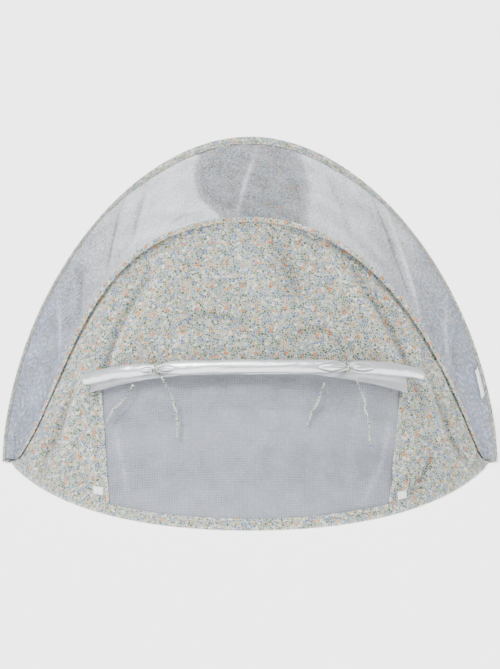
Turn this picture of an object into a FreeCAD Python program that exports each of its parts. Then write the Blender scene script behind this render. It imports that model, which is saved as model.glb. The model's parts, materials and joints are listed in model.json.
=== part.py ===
import FreeCAD, Part

# A small pop-up shade tent on two spring-wire hoops, in millimetres.
#
# X runs from corner to corner, the window faces -Y, +Z is up, and the origin is on the ground
# under the middle of the floor. Four arcs of wire start from the two corners, and they turn about
# one line through both corners, the fold line, as the ribs of a fan do. An arc's angle is measured
# about that line, from 0, flat on the ground behind, to 180, flat on the ground in front.

import math
import os
from collections import namedtuple

Vector = FreeCAD.Vector

# Half of an arc is one cubic curve from its corner to its crown. The handles are shares: how far
# the corner's handle leans in (of the half span) and goes up (of the height), and how long the
# crown's level handle is (of the half span).
Handles = namedtuple("Handles", "corner_in corner_up crown")

# Frame: spring wire in sewn sleeves
SPAN = 1200.0            # over the sleeves, corner to corner
WIRE_D = 3.0
SLEEVE_D = 8.0
SLEEVE_WALL = 0.8
NEST_GAP = 2.0           # between neighbouring sleeves where they meet at a corner
CROWN_NEST = 1.4         # the front arch stands this many nest steps inside its neighbour
FERRULE_D = 5.0
FERRULE_LENGTH = 36.0
CRIMP_GAP = 0.1          # ferrule bore round the wire

# Arcs: how far each crown stands from the fold line, and its angle when the tent is open
REAR_ARCH_HEIGHT = 787.0
REAR_ARCH_ANGLE = 73.4
REAR_ARCH_HANDLES = Handles(0.033, 0.524, 0.482)
FRONT_ARCH_HEIGHT = 610.0
FRONT_ARCH_ANGLE = 97.0
FRONT_ARCH_LEFT = Handles(0.29, 0.448, 0.670)
FRONT_ARCH_RIGHT = Handles(0.187, 0.457, 0.536)
FLOOR_DEPTH = 436.0      # of the front half, and of the rear half
FLOOR_HANDLES = Handles(0.18, 0.525, 0.524)
PATH_SPANS = 6           # pairs of tangent arcs in each half of a wire's path

# Cloth
CLOTH = 0.8              # thickness of the woven panels
MESH = 0.6
FLOOR_CLOTH = 1.2
SEAM_GAP = 0.6           # panel edge to sleeve
LAYER_GAP = 0.6          # between cloths that lie on each other
PANEL_REACH = 0.95       # share of an arc that a panel's edge follows, from the crown outwards
CREASE_GAP = 5.0         # between the two halves of the floor
FLOOR_INSET = 34.0       # the floor's ends inside the ends of its sleeve

# Window in the front panel, in shares of the panel: s along the arc and w down from it
WINDOW_LEFT = (-0.455, -0.412)      # s at the top and at the foot
WINDOW_RIGHT = (0.483, 0.406)
WINDOW_HEM = 16.0        # cloth left between the window and the ground sleeve
WINDOW_OVERLAP = 12.0    # of the mesh behind the panel

# Rolled-up window cover
ROLL_D = 34.0
ROLL_STANDOFF = 8.0      # roll to the middle of the panel's cloth
ROLL_RUNS = 7            # straight runs in the roll's line
ROLL_LEFT = (-0.485, 0.410)
ROLL_MIDDLE = (0.0, 0.503)
ROLL_RIGHT = (0.528, 0.355)
FLAP_LEFT_DROP = 12.0    # loose cloth below the roll, at the window's two sides
FLAP_RIGHT_DROP = 30.0
TIE_LOOP_GAP = 0.8
TIE_LOOP_WALL = 1.2
TIE_LOOP_WIDTH = 11.0
TIE_LEFT_S = -0.226
TIE_RIGHT_S = 0.252
KNOT_D = 16.0
KNOT_DROP = 24.0         # degrees round the roll, below the panel's outward direction
TIE_D = 6.0

# Loose ends of the ties, from the roll down over the window, as (s, w, off) on the front panel.
# The points are chosen by hand.
TIE_ROUTES = {
    "tie_tail_left_outer": [
        (-0.306, 0.513, 16), (-0.322, 0.546, 18), (-0.352, 0.572, 19), (-0.387, 0.599, 20),
        (-0.400, 0.632, 18),
    ],
    "tie_tail_left_inner": [
        (-0.204, 0.520, 47), (-0.194, 0.558, 40), (-0.183, 0.589, 23), (-0.179, 0.630, 18),
        (-0.174, 0.673, 14), (-0.178, 0.716, 11),
    ],
    "tie_tail_right_outer": [
        (0.193, 0.534, 12), (0.182, 0.574, 10), (0.173, 0.606, 9), (0.155, 0.638, 8),
        (0.146, 0.676, 5),
    ],
    "tie_tail_right_inner": [
        (0.270, 0.513, 46), (0.284, 0.549, 42), (0.304, 0.580, 32), (0.308, 0.624, 28),
        (0.322, 0.667, 26), (0.322, 0.715, 20), (0.334, 0.749, 17),
    ],
}
ARC_SHARE = 0.45         # of the shorter run beside a point, that its arc takes

# Hook-and-loop patches and labels
PATCH_WIDTH = 25.0
PATCH_HEIGHT = 17.0
PATCH_THICKNESS = 1.6
PATCH_LEFT = (-0.448, 0.915)
PATCH_RIGHT = (0.453, 0.935)
CARE_LABEL_WIDTH = 112.0
CARE_LABEL_DEPTH = 14.0
CARE_LABEL_W = 0.095     # share of the rear panel, up from the ground
LABEL_THICKNESS = 0.6
SIDE_LABEL_WIDTH = 18.0
SIDE_LABEL_LENGTH = 60.0
SIDE_LABEL_INSET = 14.0  # from the panel's edge
SIDE_LABEL_S = 0.82      # share of the rear arch, from the crown to the right corner

# Doorway in the rear panel
DOOR_WIDTH = 440.0
DOOR_SILL = 112.0
DOOR_WALL_HEIGHT = 170.0
DOOR_ARCH_RISE = 180.0
DOOR_BINDING = 16.0

# Worked out
FOLD_LINE_Z = SLEEVE_D / 2
SLEEVE_BORE = SLEEVE_D - 2 * SLEEVE_WALL
NEST_STEP = SLEEVE_D + NEST_GAP
REAR_ARCH_END = SPAN / 2 - SLEEVE_D / 2
REAR_GROUND_END = REAR_ARCH_END - NEST_STEP
FRONT_GROUND_END = REAR_GROUND_END - NEST_STEP
FRONT_ARCH_END = FRONT_GROUND_END - CROWN_NEST * NEST_STEP
SEAM = SLEEVE_D / 2 + SEAM_GAP


class Arc:
    """One arc of the frame, from the left corner (s = -1) over its crown (0) to the right (1)."""

    def __init__(self, end_x, height, angle, left, right):
        self.end_x = end_x
        self.height = height
        self.angle = math.radians(angle)
        self.left = left
        self.right = right

    def flat(self, s):
        """The point and the direction at s, as (x, distance from the fold line)."""
        side = -1 if s < 0 else 1
        hand = self.left if s < 0 else self.right
        t = 1 - abs(s)
        corner = (side * self.end_x, 0.0)
        lean = (side * self.end_x * (1 - hand.corner_in), self.height * hand.corner_up)
        level = (side * self.end_x * hand.crown, self.height)
        crown = (0.0, self.height)
        u = 1 - t
        point = [
            u**3 * a + 3 * u * u * t * b + 3 * u * t * t * c + t**3 * d
            for a, b, c, d in zip(corner, lean, level, crown)
        ]
        slope = [
            -side * (u * u * (b - a) + 2 * u * t * (c - b) + t * t * (d - c))
            for a, b, c, d in zip(corner, lean, level, crown)
        ]
        size = math.hypot(*slope)
        return point, [v / size for v in slope]

    def lift(self, flat):
        """A point of the arc's own plane, in the tent's frame."""
        x, reach = flat
        return Vector(x, reach * math.cos(self.angle), FOLD_LINE_Z + reach * math.sin(self.angle))

    def at(self, s):
        """The point at s, in the tent's frame."""
        return self.lift(self.flat(s)[0])

    def direction(self, s):
        """The unit direction of travel at s, in the tent's frame."""
        x, reach = self.flat(s)[1]
        return Vector(x, reach * math.cos(self.angle), reach * math.sin(self.angle))

    def path(self, start, end, spans):
        """The wire's path from start to end as tangent circular arcs, two in each span."""
        edges = []
        marks = [start + (end - start) * i / spans for i in range(spans + 1)]
        for first, last in zip(marks, marks[1:]):
            for points in two_arcs(*self.flat(first), *self.flat(last)):
                edges.append(Part.Arc(*[self.lift(p) for p in points]).toShape())
        return Part.Wire(edges)


def arc_middle(begin, along, end):
    """The middle of the flat circular arc from begin to end that leaves begin along a direction."""
    chord = [b - a for a, b in zip(begin, end)]
    length = math.hypot(*chord)
    unit = [c / length for c in chord]
    forward = sum(a * b for a, b in zip(along, unit))
    side = [a - forward * b for a, b in zip(along, unit)]
    sideways = math.hypot(*side)
    rise = length / 2 * math.tan(math.atan2(sideways, forward) / 2)
    return [(a + b) / 2 + c / sideways * rise for a, b, c in zip(begin, end, side)]


def two_arcs(p0, t0, p1, t1):
    """Two tangent arcs that leave p0 along t0 and reach p1 along t1, each as three points."""
    gap = [b - a for a, b in zip(p0, p1)]
    both = [a + b for a, b in zip(t0, t1)]
    gap_both = sum(a * b for a, b in zip(gap, both))
    turn = 2 * (1 - sum(a * b for a, b in zip(t0, t1)))
    reach = (math.sqrt(gap_both**2 + turn * sum(a * a for a in gap)) - gap_both) / turn
    meet = [(a + reach * u + b - reach * v) / 2 for a, u, b, v in zip(p0, t0, p1, t1)]
    back = [-v for v in t1]
    return (p0, arc_middle(p0, t0, meet), meet), (meet, arc_middle(p1, back, meet), p1)


class Panel:
    """Cloth stretched straight from one arc (w = 0) to another (w = 1)."""

    def __init__(self, low, high):
        self.low = low
        self.high = high

    def length(self, s):
        """How far apart the two arcs are at s."""
        return self.high.at(s).distanceToPoint(self.low.at(s))

    def at(self, s, w, off=0.0):
        """The point at s and w, moved off the cloth's middle, outwards if off is positive."""
        start = self.low.at(s)
        point = start + (self.high.at(s) - start) * w
        if off:
            point += self.outward(s, w) * off
        return point

    def seam(self, s, arc):
        """The share of the way across at s that keeps the cloth's edge clear of an arc's sleeve."""
        across = self.high.at(s) - self.low.at(s)
        return SEAM / across.cross(arc.direction(s)).Length

    def per_s(self, s, w):
        """Millimetres along the cloth for one unit of s."""
        step = 1e-3
        return self.at(s + step, w).distanceToPoint(self.at(s - step, w)) / (2 * step)

    def outward(self, s, w):
        """The unit direction out of the tent at s and w."""
        step = 1e-3
        along = self.at(s + step, w) - self.at(s - step, w)
        across = self.high.at(s) - self.low.at(s)
        return across.cross(along).normalize()

    def skin(self, thickness, left=-PANEL_REACH, right=PANEL_REACH, top=None, foot=None, off=0.0,
             columns=25, rows=4):
        """A cloth of even thickness. top and foot give w for an s, or the seams if left out."""
        top = top or (lambda s: self.seam(s, self.low))
        foot = foot or (lambda s: 1 - self.seam(s, self.high))
        faces = []
        for side in (-0.5, 0.5):
            grid = []
            for i in range(columns):
                s = left + (right - left) * i / (columns - 1)
                first, last = top(s), foot(s)
                grid.append([
                    self.at(s, first + (last - first) * j / (rows - 1), off + side * thickness)
                    for j in range(rows)
                ])
            surface = Part.BSplineSurface()
            surface.interpolate(grid)
            faces.append(surface)
        return shell_between(*faces)


def shell_between(inner, outer):
    """A closed solid between two matching surfaces."""
    u0, u1, v0, v1 = inner.bounds()
    rims = []
    for make, at in (("uIso", u0), ("uIso", u1), ("vIso", v0), ("vIso", v1)):
        low = getattr(inner, make)(at).toShape()
        high = getattr(outer, make)(at).toShape()
        rims.append(Part.makeRuledSurface(low, high))
    sewn = Part.makeCompound([inner.toShape(), outer.toShape()] + rims)
    sewn.sewShape()
    solid = Part.Solid(Part.Shell(sewn.Faces))
    if solid.Volume < 0:
        solid.reverse()
    return solid


def disc(diameter, middle, normal):
    """A flat round face."""
    return Part.Face(Part.Wire(Part.makeCircle(diameter / 2, middle, normal)))


def tube(wire, begin, direction, outer_d, bore_d=0.0):
    """A round tube or rod along a path that starts at begin."""
    section = disc(outer_d, begin, direction)
    if bore_d:
        section = section.cut(disc(bore_d, begin, direction)).Faces[0]
    return wire.makePipe(section)


def along_arc(arc, outer_d, bore_d=0.0, start=-1.0, end=1.0, spans=2 * PATH_SPANS):
    """A tube along an arc of the frame."""
    return tube(arc.path(start, end, spans), arc.at(start), arc.direction(start), outer_d, bore_d)


def ferrule(arc):
    """The crimped tube that joins the two ends of a hoop's wire, at the middle of a ground arc."""
    per_s = arc.at(0.01).distanceToPoint(arc.at(-0.01)) / 0.02
    half = FERRULE_LENGTH / 2 / per_s
    return along_arc(arc, FERRULE_D, WIRE_D + 2 * CRIMP_GAP, -half, half, 2)


def floor_half(ground, side):
    """One half of the floor, from the crease to its ground sleeve. side is 1 behind, -1 in front."""
    inner = Arc(
        ground.end_x - FLOOR_INSET, ground.height - SEAM, math.degrees(ground.angle),
        FLOOR_HANDLES, FLOOR_HANDLES,
    )
    rim = inner.path(-1.0, 1.0, 2 * PATH_SPANS)
    ends = [inner.at(-1.0), inner.at(1.0)]
    face = Part.Face(Part.Wire(rim.Edges + [Part.makeLine(ends[1], ends[0])]))
    face.translate(Vector(0, 0, -FOLD_LINE_Z))
    half = face.extrude(Vector(0, 0, FLOOR_CLOTH))
    keep = Part.makeBox(SPAN, FLOOR_DEPTH, SLEEVE_D)
    keep.translate(Vector(-SPAN / 2, CREASE_GAP / 2 if side > 0 else -CREASE_GAP / 2 - FLOOR_DEPTH, 0))
    return half.common(keep)


def prism(points, depth_from, depth_to):
    """A straight prism along Y through a closed outline of (x, z) points."""
    outline = [Vector(x, depth_from, z) for x, z in points]
    face = Part.Face(Part.makePolygon(outline + outline[:1]))
    return face.extrude(Vector(0, depth_to - depth_from, 0))


def roll_w(s):
    """How far down the front panel the roll's middle lies at s: a parabola through its ends."""
    edge = ROLL_LEFT if s < 0 else ROLL_RIGHT
    return ROLL_MIDDLE[1] + (edge[1] - ROLL_MIDDLE[1]) * (s / edge[0]) ** 2


def window_cut(front):
    """The hole that the window leaves in the front panel, as a prism along Y."""
    count = 12
    foot_left, foot_right = WINDOW_LEFT[1], WINDOW_RIGHT[1]
    head, foot = [], []
    for i in range(count + 1):
        s = WINDOW_LEFT[0] + (WINDOW_RIGHT[0] - WINDOW_LEFT[0]) * i / count
        head.append(front.at(s, roll_w(s)))
        s = foot_left + (foot_right - foot_left) * i / count
        foot.append(front.at(s, 1 - front.seam(s, front.high) - WINDOW_HEM / front.length(s)))
    outline = [(p.x, p.z) for p in head + foot[::-1]]
    return prism(outline, -2 * FLOOR_DEPTH, 0.0)


def window_mesh(front):
    """The fixed mesh behind the window, lapped behind its edges."""
    lap = WINDOW_OVERLAP
    left, right = WINDOW_LEFT[0], WINDOW_RIGHT[0]
    return front.skin(
        MESH,
        left - lap / front.per_s(left, roll_w(left)),
        right + lap / front.per_s(right, roll_w(right)),
        lambda s: roll_w(s) - lap / front.length(s),
        lambda s: 1 - front.seam(s, front.high) - (WINDOW_HEM - lap) / front.length(s),
        -(CLOTH / 2 + LAYER_GAP + MESH / 2),
    )


def roll_line(front):
    """The roll's middle line over the front panel."""
    left, right = ROLL_LEFT[0], ROLL_RIGHT[0]
    stations = [left + (right - left) * i / ROLL_RUNS for i in range(ROLL_RUNS + 1)]
    return rounded_path([front.at(s, roll_w(s), ROLL_D / 2 + ROLL_STANDOFF) for s in stations])[0]


def roll_station(line, front, s):
    """The point and the unit direction of the roll's middle line over the panel's point at s."""
    near = []
    for mark in (s - 0.01, s, s + 0.01):
        over = Part.Vertex(front.at(mark, roll_w(mark), ROLL_D / 2 + ROLL_STANDOFF))
        near.append(line.distToShape(over)[1][0][0])
    return near[1], (near[2] - near[0]).normalize()


def cover_roll(line):
    """The rolled cover as one soft rod."""
    first = line.Edges[0]
    return tube(line, first.valueAt(first.FirstParameter), first.tangentAt(first.FirstParameter), ROLL_D)


def tie_loop(line, front, s):
    """The band of a tie round the roll."""
    middle, along = roll_station(line, front, s)
    begin = middle - along * (TIE_LOOP_WIDTH / 2)
    bore = ROLL_D + 2 * TIE_LOOP_GAP
    end = middle + along * (TIE_LOOP_WIDTH / 2)
    return tube(Part.Wire(Part.makeLine(begin, end)), begin, along, bore + 2 * TIE_LOOP_WALL, bore)


def tie_knot(line, front, s):
    """The knot of a tie, a soft bead on the outer face of its loop."""
    reach = ROLL_D / 2 + TIE_LOOP_GAP + TIE_LOOP_WALL + LAYER_GAP + KNOT_D / 2
    middle, along = roll_station(line, front, s)
    out = front.outward(s, roll_w(s))
    down = along.cross(out).normalize()
    turn = math.radians(KNOT_DROP)
    return Part.makeSphere(KNOT_D / 2, middle + (out * math.cos(turn) + down * math.sin(turn)) * reach)


def flap(front):
    """The loose lower edge of the cover that hangs below the roll, deepest at the right."""
    left, right = WINDOW_LEFT[0], WINDOW_RIGHT[0]

    def foot(s):
        share = (s - left) / (right - left)
        drop = FLAP_LEFT_DROP + (FLAP_RIGHT_DROP - FLAP_LEFT_DROP) * share
        return roll_w(s) + (ROLL_D / 2 + drop) / front.length(s)

    return front.skin(
        MESH, left, right, lambda s: roll_w(s) + ROLL_D / 4 / front.length(s), foot,
        CLOTH / 2 + LAYER_GAP + MESH / 2,
    )


def rounded_path(points):
    """Straight runs through the points, joined by tangent arcs as large as the runs allow."""
    edges, radii, here = [], [], points[0]
    for before, corner, after in zip(points, points[1:], points[2:]):
        back, ahead = before - corner, after - corner
        turn = math.pi - back.getAngle(ahead)
        cut = ARC_SHARE * min(back.Length, ahead.Length)
        radius = cut / math.tan(turn / 2)
        back.normalize()
        ahead.normalize()
        begin, end = corner + back * cut, corner + ahead * cut
        inward = (back + ahead).normalize()
        middle = corner + inward * (radius / math.cos(turn / 2) - radius)
        edges.append(Part.makeLine(here, begin))
        edges.append(Part.Arc(begin, middle, end).toShape())
        radii.append(radius)
        here = end
    edges.append(Part.makeLine(here, points[-1]))
    return Part.Wire(edges), radii


def cord_tube(name, panel, route, diameter):
    """A cord's tube over a panel, with its radii and its volume against section times length printed."""
    points = [panel.at(*place) for place in route]
    path, radii = rounded_path(points)
    solid = tube(path, points[0], points[1] - points[0], diameter)
    exact = math.pi * diameter**2 / 4 * path.Length
    print(f"{name}: length {path.Length:.0f} mm, radii {', '.join(f'{r:.0f}' for r in radii)} mm,"
          f" volume {solid.Volume / exact:.3f} of section times length")
    return solid


def badge(panel, s, w, width, height, thickness, inside=False):
    """A small piece sewn flat on a panel, its width along the arcs and its height across."""
    half_s = width / 2 / panel.per_s(s, w)
    half_w = height / 2 / panel.length(s)
    off = CLOTH / 2 + LAYER_GAP + thickness / 2
    return panel.skin(
        thickness, s - half_s, s + half_s, lambda _: w - half_w, lambda _: w + half_w,
        -off if inside else off, columns=7,
    )


def door_prism(grow):
    """The arched doorway, grown outwards by a distance, as a prism along Y."""
    half = DOOR_WIDTH / 2 + grow
    sill = DOOR_SILL - grow
    spring = DOOR_SILL + DOOR_WALL_HEIGHT
    crown = spring + DOOR_ARCH_RISE + grow
    left_foot, left_spring = Vector(-half, 0, sill), Vector(-half, 0, spring)
    right_foot, right_spring = Vector(half, 0, sill), Vector(half, 0, spring)
    outline = Part.Wire([
        Part.makeLine(left_foot, left_spring),
        Part.Arc(left_spring, Vector(0, 0, crown), right_spring).toShape(),
        Part.makeLine(right_spring, right_foot),
        Part.makeLine(right_foot, left_foot),
    ])
    return Part.Face(outline).extrude(Vector(0, 2 * FLOOR_DEPTH, 0))


def build():
    """Every piece of the tent, by name."""
    rear_arch = Arc(REAR_ARCH_END, REAR_ARCH_HEIGHT, REAR_ARCH_ANGLE, REAR_ARCH_HANDLES, REAR_ARCH_HANDLES)
    front_arch = Arc(FRONT_ARCH_END, FRONT_ARCH_HEIGHT, FRONT_ARCH_ANGLE, FRONT_ARCH_LEFT, FRONT_ARCH_RIGHT)
    reach = FLOOR_DEPTH - SLEEVE_D / 2
    rear_ground = Arc(REAR_GROUND_END, reach, 0.0, FLOOR_HANDLES, FLOOR_HANDLES)
    front_ground = Arc(FRONT_GROUND_END, reach, 180.0, FLOOR_HANDLES, FLOOR_HANDLES)
    arcs = {
        "rear_ground": rear_ground, "rear_arch": rear_arch,
        "front_arch": front_arch, "front_ground": front_ground,
    }
    pieces = {}
    for name, arc in arcs.items():
        pieces[name + "_wire"] = along_arc(arc, WIRE_D)
        pieces[name + "_sleeve"] = along_arc(arc, SLEEVE_D, SLEEVE_BORE)
    for name in ("rear_ground", "front_ground"):
        pieces[name + "_ferrule"] = ferrule(arcs[name])
    pieces["floor_rear"] = floor_half(rear_ground, 1)
    pieces["floor_front"] = floor_half(front_ground, -1)

    rear = Panel(rear_ground, rear_arch)
    roof = Panel(rear_arch, front_arch)
    front = Panel(front_arch, front_ground)
    door = door_prism(0.0)
    pieces["rear_panel"] = rear.skin(CLOTH).cut(door)
    binding = rear.skin(CLOTH, off=CLOTH + LAYER_GAP).common(door_prism(DOOR_BINDING).cut(door))
    pieces["doorway_binding"] = binding
    pieces["top_mesh"] = roof.skin(MESH)
    pieces["front_panel"] = front.skin(CLOTH).cut(window_cut(front))
    pieces["window_mesh"] = window_mesh(front)

    line = roll_line(front)
    pieces["cover_roll"] = cover_roll(line)
    pieces["cover_flap"] = flap(front)
    for side, s in (("left", TIE_LEFT_S), ("right", TIE_RIGHT_S)):
        pieces["tie_loop_" + side] = tie_loop(line, front, s)
        pieces["tie_knot_" + side] = tie_knot(line, front, s)
    for name, route in TIE_ROUTES.items():
        pieces[name] = cord_tube(name, front, route, TIE_D)

    for side, (s, w) in (("left", PATCH_LEFT), ("right", PATCH_RIGHT)):
        pieces["hook_loop_patch_" + side] = badge(front, s, w, PATCH_WIDTH, PATCH_HEIGHT, PATCH_THICKNESS)
    pieces["care_label"] = badge(
        rear, 0.0, CARE_LABEL_W, CARE_LABEL_WIDTH, CARE_LABEL_DEPTH, LABEL_THICKNESS, inside=True)
    w = roof.seam(SIDE_LABEL_S, rear_arch)
    w += (SIDE_LABEL_INSET + SIDE_LABEL_WIDTH / 2) / roof.length(SIDE_LABEL_S)
    pieces["side_label"] = badge(
        roof, SIDE_LABEL_S, w, SIDE_LABEL_LENGTH, SIDE_LABEL_WIDTH, LABEL_THICKNESS)
    return pieces


if __name__ == "__main__":
    os.makedirs("parts", exist_ok=True)
    for node, solid in build().items():
        if not solid.isValid() or solid.Volume <= 0:
            raise ValueError(f"{node} came out wrong")
        solid.exportStep(f"parts/{node}.step")
        box = solid.BoundBox
        print(f"{node}: {len(solid.Solids)} solid, {solid.Volume / 1000:.1f} cm3,"
              f" x {box.XMin:.0f} {box.XMax:.0f} y {box.YMin:.0f} {box.YMax:.0f}"
              f" z {box.ZMin:.1f} {box.ZMax:.0f}")
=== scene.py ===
import json
import logging
import math
from dataclasses import dataclass, field
from enum import Enum
from typing import Callable, Sequence

import bmesh
import bpy
import numpy as np
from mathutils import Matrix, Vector


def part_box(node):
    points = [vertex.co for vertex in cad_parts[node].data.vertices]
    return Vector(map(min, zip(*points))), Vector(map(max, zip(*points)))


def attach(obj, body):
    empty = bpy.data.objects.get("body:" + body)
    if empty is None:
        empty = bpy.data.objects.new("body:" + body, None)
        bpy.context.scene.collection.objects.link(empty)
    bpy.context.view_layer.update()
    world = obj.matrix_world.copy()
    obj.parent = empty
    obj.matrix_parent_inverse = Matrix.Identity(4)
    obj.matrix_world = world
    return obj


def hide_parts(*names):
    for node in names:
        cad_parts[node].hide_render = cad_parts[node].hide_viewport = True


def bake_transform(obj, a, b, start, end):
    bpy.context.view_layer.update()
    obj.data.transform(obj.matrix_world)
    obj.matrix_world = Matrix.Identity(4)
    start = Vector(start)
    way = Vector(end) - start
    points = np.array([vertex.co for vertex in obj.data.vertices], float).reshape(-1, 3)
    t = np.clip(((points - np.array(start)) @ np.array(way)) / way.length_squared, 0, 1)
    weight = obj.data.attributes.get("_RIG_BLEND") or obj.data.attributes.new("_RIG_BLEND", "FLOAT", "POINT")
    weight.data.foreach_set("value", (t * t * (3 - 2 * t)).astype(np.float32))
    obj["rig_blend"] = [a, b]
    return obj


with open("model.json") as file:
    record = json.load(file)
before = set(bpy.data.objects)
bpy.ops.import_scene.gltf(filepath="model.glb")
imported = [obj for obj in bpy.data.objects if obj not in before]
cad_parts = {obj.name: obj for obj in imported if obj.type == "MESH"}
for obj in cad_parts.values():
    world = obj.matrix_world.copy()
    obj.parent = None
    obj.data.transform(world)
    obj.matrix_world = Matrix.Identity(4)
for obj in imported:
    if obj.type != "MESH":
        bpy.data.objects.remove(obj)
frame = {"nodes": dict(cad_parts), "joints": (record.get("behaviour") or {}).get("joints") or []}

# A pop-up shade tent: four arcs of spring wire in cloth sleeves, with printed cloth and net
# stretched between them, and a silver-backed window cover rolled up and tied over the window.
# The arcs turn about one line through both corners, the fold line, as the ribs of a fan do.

log = logging.getLogger("tent")
MM = 0.001
Array = np.ndarray
# Faces that meet at more than this angle keep a hard edge.
SHARP = math.radians(55)
# How far to either side of a place, in s, a direction is taken from.
NEARBY = 1e-3


# ---------------------------------------------------------------- materials


def linear(colour: str) -> tuple[float, float, float, float]:
    """Turns an sRGB hex colour into linear light.

    Args:
        colour: Six hex digits after a hash.

    Returns:
        Red, green, blue and an alpha of one.
    """
    parts = [int(colour[i:i + 2], 16) / 255 for i in (1, 3, 5)]
    values = [c / 12.92 if c <= 0.04045 else ((c + 0.055) / 1.055) ** 2.4 for c in parts]
    return (values[0], values[1], values[2], 1.0)


def add(tree: bpy.types.NodeTree, kind: str, settings: dict | None = None,
        links: dict | None = None) -> bpy.types.Node:
    """Adds a node with its settings and links.

    Args:
        tree: The node tree.
        kind: The node's type, without the leading ShaderNode.
        settings: Properties by name, and unlinked inputs by name or number.
        links: Sockets to link, by the input's name or number.

    Returns:
        The new node.
    """
    node = tree.nodes.new("ShaderNode" + kind)
    for key, value in (settings or {}).items():
        if isinstance(key, str) and hasattr(node, key):
            setattr(node, key, value)
        else:
            node.inputs[key].default_value = value
    for key, socket in (links or {}).items():
        tree.links.new(socket, node.inputs[key])
    return node


def blank_material(name: str) -> tuple[bpy.types.Material, bpy.types.NodeTree]:
    """Makes an empty node material.

    Args:
        name: The material's name.

    Returns:
        The material and its node tree.
    """
    material = bpy.data.materials.new(name)
    material.use_nodes = True
    material.node_tree.nodes.clear()
    return material, material.node_tree


def surface(tree: bpy.types.NodeTree, shader: bpy.types.Node) -> None:
    """Joins a shader to the material's output.

    Args:
        tree: The material's node tree.
        shader: The last shader.
    """
    add(tree, "OutputMaterial", links={"Surface": shader.outputs[0]})


def cloth_millimetres(tree: bpy.types.NodeTree) -> bpy.types.NodeSocket:
    """The place on the cut cloth in millimetres, from the UV map, which is in metres."""
    uv = add(tree, "UVMap", {"uv_map": "cloth"})
    return add(tree, "VectorMath", {"operation": "SCALE", "Scale": 1 / MM}, {0: uv.outputs[0]}).outputs[0]


@dataclass(frozen=True)
class Bloom:
    """One flower of the print, on a half-drop lattice."""

    petal: str
    heart: str
    radius_mm: float
    shift_mm: tuple[float, float]
    petals: int = 5
    turn: float = 0.0


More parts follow.
